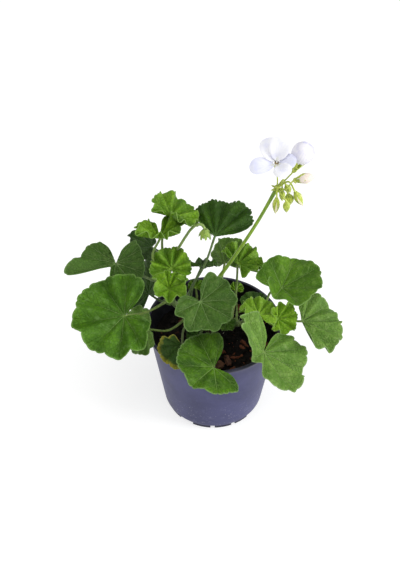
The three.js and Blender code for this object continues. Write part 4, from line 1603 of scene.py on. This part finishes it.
@dataclass
class Petal:
    """A thin rounded petal that fans out from its claw.

    heading is the compass direction of its tip, lift its rise out of the flower's plane, and cup the
    rise of its two sides.
    """

    at: np.ndarray
    normal: np.ndarray
    heading: float
    radius: float
    lift: float
    cup: float = 6.0
    spread: float = 80.0
    fullness: float = 0.95
    thickness: float = 0.35

    def form(self, across: np.ndarray, share: np.ndarray) -> np.ndarray:
        """Place the petal's vertices."""
        away = compass(self.heading)
        tip = unit(away - away.dot(self.normal) * self.normal)
        side = np.cross(self.normal, tip)
        angle = math.radians(self.spread) * (across * 2 - 1)
        length = np.cos(angle * 90 / (self.spread + 4)) ** self.fullness
        length = length * (1 + 0.025 * np.cos(angle * 5 + self.heading) * share**3)
        sides = np.sin(angle) ** 2
        rise = self.lift + 9 * (1 - share) + self.cup * sides * share
        rise = rise + 3.0 * np.sin(angle * 4 + self.heading) * share**3 - 7 * share**4
        outward = np.cos(angle)[:, None] * tip + np.sin(angle)[:, None] * side
        tall = np.radians(rise)
        reach = (self.radius * length * share)[:, None]
        return self.at + reach * (np.cos(tall)[:, None] * outward + np.sin(tall)[:, None] * self.normal)

    def build(self, name: str) -> bpy.types.Object:
        """Make the petal as one thin solid."""
        return thin_piece(name, (40, 22), self.form, self.thickness, (PETAL_LINES, 1.0))


@dataclass
class OpenFlower:
    """The open flower: five petals round a cluster of stamens, on its calyx.

    Each petal has its compass direction, length, rise out of the flower's plane and height above it.
    """

    centre: Place = (47.5, 11, 259.7)
    tilt: float = 28.0
    toward: float = -115.0
    hub: float = 1.9
    petals: tuple[tuple[float, float, float, float], ...] = (
        (186, 20, 18, 0.0), (99, 21, 20, 1.2), (68, 20, 28, 2.3), (-4, 15.5, 26, 0.0),
        (-66, 15.8, 27, 1.2),
    )
    fullness: tuple[float, ...] = (1.9, 1.1, 0.9, 0.95, 0.95)
    tinted: tuple[int, int] = (1, 4)
    stamens: int = 7

    @property
    def normal(self) -> np.ndarray:
        """The direction that the flower faces."""
        return compass(self.toward, 90 - self.tilt)

    def build(
        self,
        petal: bpy.types.Material,
        lavender: bpy.types.Material,
        stamen: bpy.types.Material,
        anther: bpy.types.Material,
    ) -> None:
        """Make the petals and stamens and put them in their nodes' places.

        Args:
            petal: The finish of the white petals.
            lavender: The finish of the two side petals, which are tinted more.
            stamen: The filaments' finish.
            anther: The anthers' finish.
        """
        for number, (heading, radius, lift, raised) in enumerate(self.petals, 1):
            away = compass(heading)
            away = unit(away - away.dot(self.normal) * self.normal)
            at = np.asarray(self.centre) + self.hub * away + raised * self.normal
            shape = Petal(at, self.normal, heading, radius, lift, fullness=self.fullness[number - 1])
            sheet = shape.build(f"petal_{number}")
            dress(sheet, lavender if number in self.tinted else petal)
            settle(f"petal_{number}", [sheet], f"open_flower_petal_{number}")
        self._stamens(stamen, anther)

    def _stamens(self, stamen: bpy.types.Material, anther: bpy.types.Material) -> None:
        """Make the receptacle, and the filaments with their anthers."""
        start = np.asarray(self.centre) + 0.2 * self.normal
        low = tuple(start - 3.2 * self.normal)
        high = tuple(start + 1.2 * self.normal)
        pieces = [turned("receptacle", low, high, rounded(1.9, 0.8, 0.7), 20, 12)]
        dress(pieces[0], stamen, anther)
        for index in range(self.stamens):
            way = compass(360 / self.stamens * index + 20, 48 + 6 * math.sin(2.4 * index))
            root = start + 0.6 * self.normal
            length = 2.3 + 0.5 * math.sin(1.7 * index)
            middle = root + way * length * 0.5 + self.normal * 0.3
            tip = root + way * length
            path = (tuple(root), tuple(middle), tuple(tip))
            filament = stalk(f"filament_{index}", path, (0.3, 0.2, 0.16), 6, 8)
            dress(filament, stamen, anther)
            half = 0.85 * unit(np.cross(way, [0.3, 1.0, 0.2]))
            ends = (tuple(tip - half), tuple(tip + half))
            head = turned(f"anther_{index}", *ends, rounded(0.5, 1.0, 0.5), 10, 8)
            dress(head, stamen, anther)
            paint(head, 1)
            pieces += [filament, head]
        settle("stamen_cluster", pieces, "open_flower_stamens")


@dataclass
class HalfOpenFlower:
    """The half-open flower: three broad petals that still close in a ball.

    ends is how many degrees each petal runs over the ball, and nesting how far one lies inside the next.
    """

    centre: Place = (68.0, 16.4, 267.2)
    base: Place = (64.8, 16.5, 257.0)
    radius: float = 9.2
    headings: tuple[float, float, float] = (30, 150, 270)
    ends: tuple[float, float, float] = (166, 166, 196)
    nesting: float = 0.05
    thickness: float = 0.22

    def build(self, petal: bpy.types.Material) -> None:
        """Make the petals and put them in their nodes' places.

        Args:
            petal: The petals' finish.
        """
        for index in range(len(self.headings)):
            sheet = self._petal(index)
            dress(sheet, petal)
            settle(f"folded_petal_{index + 1}", [sheet], f"half_open_petal_{index + 1}")

    def _petal(self, index: int) -> bpy.types.Object:
        """Make one petal of the ball."""
        middle = np.asarray(self.centre)
        axis = unit(middle - np.asarray(self.base))
        spare = unit(np.cross(axis, [0.0, 1.0, 0.0]))
        other = np.cross(axis, spare)
        away = compass(self.headings[index])
        turn = math.atan2(away.dot(other), away.dot(spare))
        shell = self.radius * (1.0 - self.nesting * (len(self.headings) - 1 - index))

        def form(across: np.ndarray, along: np.ndarray) -> np.ndarray:
            """Lay the petal on the ball, from its claw to its curled tip."""
            wide = math.radians(104) * np.sin(np.pi * np.clip(along * 0.72 + 0.08, 0, 1)) ** 0.4
            round_it = turn + (across - 0.5) * 2 * wide + 0.25 * along
            down = math.radians(172) - math.radians(self.ends[index]) * along
            swell = shell * (1 + 0.008 * np.cos((across - 0.5) * 6) - 0.01 * along)
            ring = np.sin(down) * swell
            places = middle + (np.cos(down) * swell)[:, None] * axis
            outward = np.cos(round_it)[:, None] * spare + np.sin(round_it)[:, None] * other
            return places + ring[:, None] * outward

        start = 0.3
        spread = (PETAL_LINES, 1 - start)
        return thin_piece(f"folded_petal_{index + 1}", (64, 54), form, self.thickness, spread, start)


@dataclass
class Calyx:
    """A green calyx on its pedicel, whose five sepals hold a flower's base.

    sepals is their length as a share of the calyx's, and mouth how far their tips stand open.
    """

    node: str
    by: tuple[Place, ...]
    base: Place
    top: Place
    radius: float
    sepals: float
    mouth: float
    count: int = 5
    stalk_radii: tuple[float, ...] = (0.75, 0.6, 0.62, 0.7)

    def build(self, umbel: Place, skin: bpy.types.Material) -> None:
        """Make the calyx and put it in its node's place.

        Args:
            umbel: Where its pedicel springs from.
            skin: Its green finish.
        """
        base = np.asarray(self.base, float)
        line = np.asarray(self.top, float) - base
        inside = tuple(base + 0.2 * line)
        points = (umbel, *self.by, self.base, inside)
        pieces = [stalk(f"{self.node}_pedicel", points, self.stalk_radii, 10, 30)]
        ends = (tuple(base - 0.03 * line), tuple(base + 0.55 * line))
        pieces.append(turned(f"{self.node}_cup", *ends, self._cup, 30, 14))
        pieces += [self._sepal(base, line, index) for index in range(self.count)]
        for piece in pieces:
            dress(piece, skin)
        settle(f"{self.node}_green", pieces, self.node)

    def _cup(self, angle: np.ndarray, share: np.ndarray) -> np.ndarray:
        """The cup's outline, with a soft rib below each sepal."""
        body = self.radius * 0.92 * np.sin(np.pi * np.clip(0.04 + share * 0.62, 0, 1)) ** 0.8
        ribs = 1 + 0.06 * np.cos(self.count * angle)
        return body * ribs * (share > 0) * (share < 1)

    def _sepal(self, base: np.ndarray, line: np.ndarray, index: int) -> bpy.types.Object:
        """Make one pointed sepal that lies against the flower."""
        way = unit(line)
        length = float(np.linalg.norm(line))
        spare = unit(np.cross(way, [0.2, 1.0, 0.1]))
        other = np.cross(way, spare)

        def form(across: np.ndarray, along: np.ndarray) -> np.ndarray:
            """Lay the sepal from the cup outwards."""
            half = math.radians(37) * np.clip(1 - along, 0, 1) ** 0.55
            angle = 2 * math.pi * index / self.count + (across - 0.5) * 2 * half
            swell = 1 - (1 - along) ** 3 * 0.75
            reach = self.radius * (swell + (self.mouth - 1) * along**1.5)
            walk = length * (0.08 + self.sepals * along)
            around = np.cos(angle)[:, None] * spare + np.sin(angle)[:, None] * other
            return base + walk[:, None] * way + reach[:, None] * around

        return thin_piece(f"{self.node}_sepal_{index}", (8, 12), form, 0.3)


@dataclass
class Bud:
    """A green bud that hangs from a pedicel, its sepals still closed.

    showing is whether its petals show at its tip.
    """

    number: int
    by: Place
    top: Place
    bottom: Place
    radius: float
    showing: bool = False
    stalk_radii: tuple[float, ...] = (0.95, 0.75, 0.7, 0.9)

    def build(self, umbel: Place, skin: bpy.types.Material, pale: bpy.types.Material) -> None:
        """Make the bud and put it in its node's place.

        Args:
            umbel: Where its pedicel springs from.
            skin: The green finish.
            pale: The finish of a bud whose petals show at its tip.
        """
        top = np.asarray(self.top, float)
        bottom = np.asarray(self.bottom, float)
        inside = tuple(top + 0.12 * (bottom - top))
        points = (umbel, self.by, self.top, inside)
        pedicel = stalk(f"pedicel_{self.number}", points, self.stalk_radii, 10, 26)
        body = turned(f"bud_{self.number}", self.top, self.bottom, self._outline, 40, 26)
        dress(pedicel, skin)
        dress(body, pale if self.showing else skin)
        settle(f"bud_{self.number}", [pedicel, body], f"green_bud_{self.number}")

    def _outline(self, angle: np.ndarray, share: np.ndarray) -> np.ndarray:
        """The bud's outline: a drop with five sepal seams and a pointed tip."""
        held = np.clip(share, 0, 1)
        drop = np.sin(np.pi * held**0.82) ** 0.9 * (1 - 0.22 * held**6)
        neck = 0.22 * np.exp(-((held - 0.02) / 0.05) ** 2) * (held > 0)
        seam = np.abs(((angle * 5 / (2 * math.pi)) % 1) - 0.5) * 2
        grooves = 1 - 0.10 * np.clip((seam - 0.75) / 0.25, 0, 1) ** 2 * np.sin(np.pi * held)
        return self.radius * (drop + neck) * grooves * (held > 0) * (held < 1)


GREEN_BUDS = (
    Bud(1, (49.5, 15, 230), (49.4, 12.5, 226), (49.2, 12, 209), 3.2, True),
    Bud(2, (53, 12, 228.5), (57, 7.5, 226), (57.6, 7, 214.5), 3.0),
    Bud(3, (59, 20, 236), (64, 15, 230), (71.5, 14.5, 215.5), 3.6, True),
    Bud(4, (53.5, 24.5, 231), (55, 27, 222), (55.8, 28, 209.5), 2.6),
    Bud(5, (57, 18.5, 228.5), (59, 17, 226), (61.6, 16.5, 215), 3.8),
    Bud(6, (55, 24, 235), (57.5, 25.5, 228.5), (62, 28, 218.5), 2.8),
)


@dataclass(frozen=True)
class BudFinish:
    """The finish of buds and calyces, with the tips' own colour."""

    name: str
    green: Colour = (0.50, 0.58, 0.07)
    dark: Colour = (0.22, 0.32, 0.02)
    tip: Colour = (0.60, 0.68, 0.16)
    tip_start: float = 0.5

    def build(self) -> bpy.types.Material:
        """Make the material."""
        graph = Graph(self.name)
        at = graph.place()
        across, along = graph.laid("Blade")
        seam = abs((across * 5.0).part() - 0.5) * 2
        soft = graph.noise(at, 2.5, 3.0)
        fuzz = graph.noise(at, 0.3, 2.0)
        colour = graph.mix(self.dark, self.green, soft.ramp(0.25, 0.6))
        colour = graph.mix(colour, self.dark, seam.ramp(0.8, 1.0) * 0.6)
        sepal = (1 - along) / (1 - self.tip_start)
        colour = graph.mix(colour, self.tip, (seam - sepal + 0.15 * (soft - 0.5)).ramp(0.0, 0.12))
        return graph.surface(
            Base_Color=colour,
            Roughness=0.48,
            Subsurface_Weight=0.15,
            Subsurface_Radius=(0.8, 1.0, 0.3),
            Subsurface_Scale=0.0012,
            Sheen_Weight=0.3,
            Normal=graph.relief(fuzz, 0.1, 0.5),
        )


@dataclass
class FlowerHead:
    """The flower stalk with its bracts, the buds, the calyces and the flowers.

    swelling is half the length and way of the stalk's swollen head.
    """

    umbel: Place = (50, 20, 230)
    start: Place = (3, 12, 136)
    by: tuple[Place, Place] = ((22, 15, 170), (35.5, 17, 197))
    radii: tuple[float, ...] = (1.75, 1.6, 1.5, 1.45, 1.45, 1.8)
    swelling: Place = (1.0, 0.4, 2.4)
    bracts: int = 9
    opening_waist: Place = (65.6, 11.5, 244.6)
    opening_tip: Place = (78.4, 10, 249.2)
    calyces: tuple[Calyx, ...] = (
        Calyx(
            "open_flower_calyx", ((49.5, 17, 241),), (48, 14, 251), (47.6, 12.6, 258.5), 1.6, 1.0, 1.3
        ),
        Calyx("half_open_calyx", ((55, 17, 239),), (61, 17, 247.5), (64.8, 16.5, 257), 2.8, 1.3, 1.9),
        Calyx(
            "opening_bud_calyx", ((56, 13.5, 233),), (61.5, 12, 243), (65.6, 11.6, 244.5), 2.6, 2.4, 1.75
        ),
    )

    def build(self) -> None:
        """Make all of the flower head."""
        skin = BudFinish("bud_green").build()
        pale = BudFinish("bud_pale_tip", tip=(0.90, 0.84, 0.58), tip_start=0.1).build()
        stem = StemFinish("flower_stalk_green", (0.23, 0.385, 0.010), (0.13, 0.25, 0.006)).build()
        petal = PetalFinish().build()
        lavender = PetalFinish("petal_lavender", (0.80, 0.81, 0.95), (0.62, 0.64, 0.93)).build()
        # The folded petals' last number paints shade on one side of each petal.
        folded = PetalFinish(
            "folded_petal", (0.87, 0.85, 0.91), (0.56, 0.56, 0.79), (0.74, 0.72, 0.66), 0.15, 0.9
        ).build()
        cream = PetalFinish(
            "furled_petal", (0.88, 0.78, 0.70), (0.82, 0.64, 0.52), (0.66, 0.66, 0.36)
        ).build()
        filament = StemFinish("filament", (0.80, 0.82, 0.66), (0.66, 0.68, 0.46)).build()
        anther = StemFinish("anther", (0.23, 0.13, 0.035), (0.06, 0.035, 0.012)).build()
        self._stalk(stem, skin)
        OpenFlower().build(petal, lavender, filament, anther)
        HalfOpenFlower().build(folded)
        for calyx in self.calyces:
            calyx.build(self.umbel, skin)
        self._opening_petals(cream)
        for bud in GREEN_BUDS:
            bud.build(self.umbel, skin, pale)

    def _stalk(self, stem: bpy.types.Material, skin: bpy.types.Material) -> None:
        """Make the stalk with its swollen head and its small bracts."""
        points = (self.start, *self.by, self.umbel)
        main = stalk("flower_stem", points, self.radii, 20, 60)
        dress(main, stem)
        middle = np.asarray(self.umbel, float)
        ends = (tuple(middle - self.swelling), tuple(middle + self.swelling))
        green = [turned("umbel_head", *ends, rounded(2.7, 1.0, 0.5), 24, 12)]
        green += [self._bract(index) for index in range(self.bracts)]
        for piece in green:
            dress(piece, skin)
        settle("flower_stalk_green", [main, *green], "flower_stalk")

    def _bract(self, index: int) -> bpy.types.Object:
        """Make a small pointed bract that curls up at its tip."""
        way = compass(360 / self.bracts * index + 24, -38 + 26 * (index % 2))
        spare = unit(np.cross(way, [0.0, 0.0, 1.0]))
        face = np.cross(spare, way)

        def form(across: np.ndarray, along: np.ndarray) -> np.ndarray:
            """Lay the bract from the stalk's head outwards."""
            wide = 1.35 * np.clip(1 - along, 0, 1) ** 0.55 * (0.6 + 0.5 * np.sin(np.pi * along))
            cup = 0.5 * ((across - 0.5) * 2) ** 2 + 0.9 * along**2
            lie = ((across - 0.5) * 2 * wide)[:, None]
            out = (1.9 + 3.6 * along)[:, None]
            return np.asarray(self.umbel) + out * way + lie * spare + cup[:, None] * face

        return thin_piece(f"bract_{index}", (6, 10), form, 0.3)

    def _opening_petals(self, cream: bpy.types.Material) -> None:
        """Make the furled petals of the opening bud: a twisted, pointed roll."""

        def outline(angle: np.ndarray, share: np.ndarray) -> np.ndarray:
            """The roll's outline, with the petals' overlapping edges."""
            held = np.clip(share, 0, 1)
            body = np.sin(np.pi * (0.12 + 0.86 * held)) ** 0.7 * (1 - 0.1 * held)
            roll = 1 + 0.13 * (((angle * 3 / (2 * math.pi) + 0.9 * held) % 1) - 0.5)
            return 4.4 * body * roll * (held > 0) * (held < 1)

        furled = turned("furled_petals", self.opening_waist, self.opening_tip, outline, 48, 26)
        dress(furled, cream)
        settle("furled_petals", [furled], "opening_bud_petals")


@dataclass
class YoungFlowerStalk:
    """The young stalk that hooks over, with its nodding cluster of tight buds.

    ring is how many buds stand round the one that hangs in the middle.
    """

    points: tuple[Place, ...] = (
        (-41, 12, 140), (-37, 25, 150), (-33, 25, 158), (-31, 21, 164), (-25, 20, 177), (-20, 20, 186),
        (-15, 20, 191), (-11, 20, 191), (-8.5, 20, 187),
    )
    radii: tuple[float, ...] = (1.7, 1.35, 1.25, 1.2, 1.2, 1.3)
    centre: Place = (-8, 20, 180)
    length: float = 9.0
    ring: int = 6
    bracts: int = 8

    def build(self) -> None:
        """Make the stalk and its buds and put them in their nodes' places."""
        skin = StemFinish("young_stalk_green", (0.27, 0.38, 0.09), (0.16, 0.26, 0.05)).build()
        green = BudFinish(
            "young_bud_green", (0.29, 0.42, 0.06), (0.14, 0.26, 0.03), (0.36, 0.50, 0.12)
        ).build()
        hook = stalk("young_stem", self.points, self.radii, 14, 60)
        dress(hook, skin)
        settle("young_stem", [hook], "young_flower_stalk")
        top = np.asarray(self.centre, float) + [0, 0, self.length * 0.62]
        pieces = []
        for index in range(self.ring + 1):
            hanging = index == self.ring
            spread = 12 if hanging else 34 + 8 * (index % 2)
            way = compass(360 / self.ring * index + 10, spread - 90)
            tip = top + way * self.length * (1.0 if hanging else 0.92)
            outline = rounded(1.75, 0.75, 0.8)
            pieces.append(turned(f"young_bud_{index}", tuple(top), tuple(tip), outline, 20, 14))
        pieces += [self._bract(top, index) for index in range(self.bracts)]
        for piece in pieces:
            dress(piece, green)
        settle("young_buds", pieces, "young_bud_cluster")

    def _bract(self, top: np.ndarray, index: int) -> bpy.types.Object:
        """Make one pointed bract that wraps the buds."""
        turn = 360 / self.bracts * index + 5

        def form(across: np.ndarray, along: np.ndarray) -> np.ndarray:
            """Lay the bract from the stalk's end down over the buds."""
            fall = np.radians(-25 - 52 * along)
            half = np.radians(24) * np.clip(1 - along, 0, 1) ** 0.5
            angle = math.radians(turn) + (across - 0.5) * 2 * half
            out = 1.2 + 4.4 * np.sin(np.pi * 0.5 * along) ** 0.8
            drop = 7.6 * along * (1 + 0.12 * (index % 2))
            x = np.cos(angle) * out
            y = np.sin(angle) * out
            return top + np.stack([x, y, -drop + 0.4 * np.cos(fall)], axis=1)

        return thin_piece(f"young_bract_{index}", (6, 10), form, 0.3)


# Studio


@dataclass(frozen=True)
class Lamp:
    """A square soft light that faces the plant, its place and side in metres and its power in watts."""

    name: str
    at: Place
    side: float
    power: float
    aim: Place = (0, 0, 0.13)

    def hang(self) -> None:
        """Put the light in the scene."""
        data = bpy.data.lights.new(self.name, "AREA")
        data.shape = "SQUARE"
        data.size = self.side
        data.energy = self.power
        lamp = bpy.data.objects.new(self.name, data)
        lamp.location = self.at
        way = Vector(self.aim) - Vector(self.at)
        lamp.rotation_euler = way.to_track_quat("-Z", "Y").to_euler()
        bpy.context.scene.collection.objects.link(lamp)


@dataclass
class Studio:
    """The camera, the pale floor and the soft lights."""

    target: Place = (-12.4, 0.0, 140.5)
    distance: float = 841.0
    elevation: float = 43.5
    lens: float = 62.0
    sensor: float = 36.0
    floor: float = 6.0
    floor_glow: float = 0.68
    surround: float = 0.58
    lamps: tuple[Lamp, Lamp] = (
        Lamp("key", (1.3, -0.35, 0.75), 0.6, 14.0), Lamp("top", (-0.2, -0.5, 1.6), 0.9, 8.0),
    )

    def build(self) -> None:
        """Set up the camera, floor and lights."""
        self._camera()
        self._floor()
        self._lights()
        bpy.context.scene.view_settings.view_transform = "Standard"

    def _camera(self) -> None:
        """Look at the plant as the photograph does."""
        away = -compass(90, -self.elevation)
        eye = AXIS.metres(np.asarray(self.target) + self.distance * away)
        data = bpy.data.cameras.new("camera")
        data.lens = self.lens
        data.sensor_fit = "VERTICAL"
        data.sensor_height = self.sensor
        camera = bpy.data.objects.new("camera", data)
        camera.location = eye
        aim = Vector(AXIS.metres(self.target)) - Vector(eye)
        camera.rotation_euler = aim.to_track_quat("-Z", "Y").to_euler()
        bpy.context.scene.collection.objects.link(camera)
        bpy.context.scene.camera = camera

    def _floor(self) -> None:
        """Lay a large pale floor, lit a little from behind like a white light table."""
        clear_selection()
        bpy.ops.mesh.primitive_plane_add(size=self.floor)
        floor = bpy.context.object
        floor.name = "floor"
        graph = Graph("floor_paper")
        tone = graph.noise(graph.place(), 300.0, 2.0)
        paper = graph.mix((0.44, 0.44, 0.44), (0.46, 0.46, 0.46), tone)
        dress(floor, graph.surface(
            Base_Color=paper, Roughness=0.9, Specular_IOR_Level=0.0,
            Emission_Color=(1.0, 1.0, 1.0), Emission_Strength=self.floor_glow,
        ))
        floor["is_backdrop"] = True

    def _lights(self) -> None:
        """Light the plant from the right and from above, with white all round."""
        for lamp in self.lamps:
            lamp.hang()
        world = bpy.data.worlds.new("tent")
        world.use_nodes = True
        sockets = world.node_tree.nodes["Background"].inputs
        sockets["Color"].default_value = (1, 1, 1, 1)
        sockets["Strength"].default_value = self.surround
        bpy.context.scene.world = world


def main() -> None:
    """Build the plant piece by piece."""
    logging.basicConfig(level=logging.INFO, format="%(message)s")
    Studio().build()
    pot = NurseryPot()
    pot.build()
    SoilBed(pot).build()
    bark = BarkChip.bark()
    for chip in BARK_CHIPS:
        chip.build(bark)
    finishes = {kind: kind.value.faces() for kind in LeafKind}
    leaves = plant_leaves()
    for leaf in leaves:
        leaf.build(finishes)
    MainStem().build(leaves)
    FlowerHead().build()
    YoungFlowerStalk().build()
    boxes = {"cad": CAD_BOX, "visual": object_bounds()}
    boxes = {name: [list(corner) for corner in box] for name, box in boxes.items()}


if __name__ == "__main__":
    main()
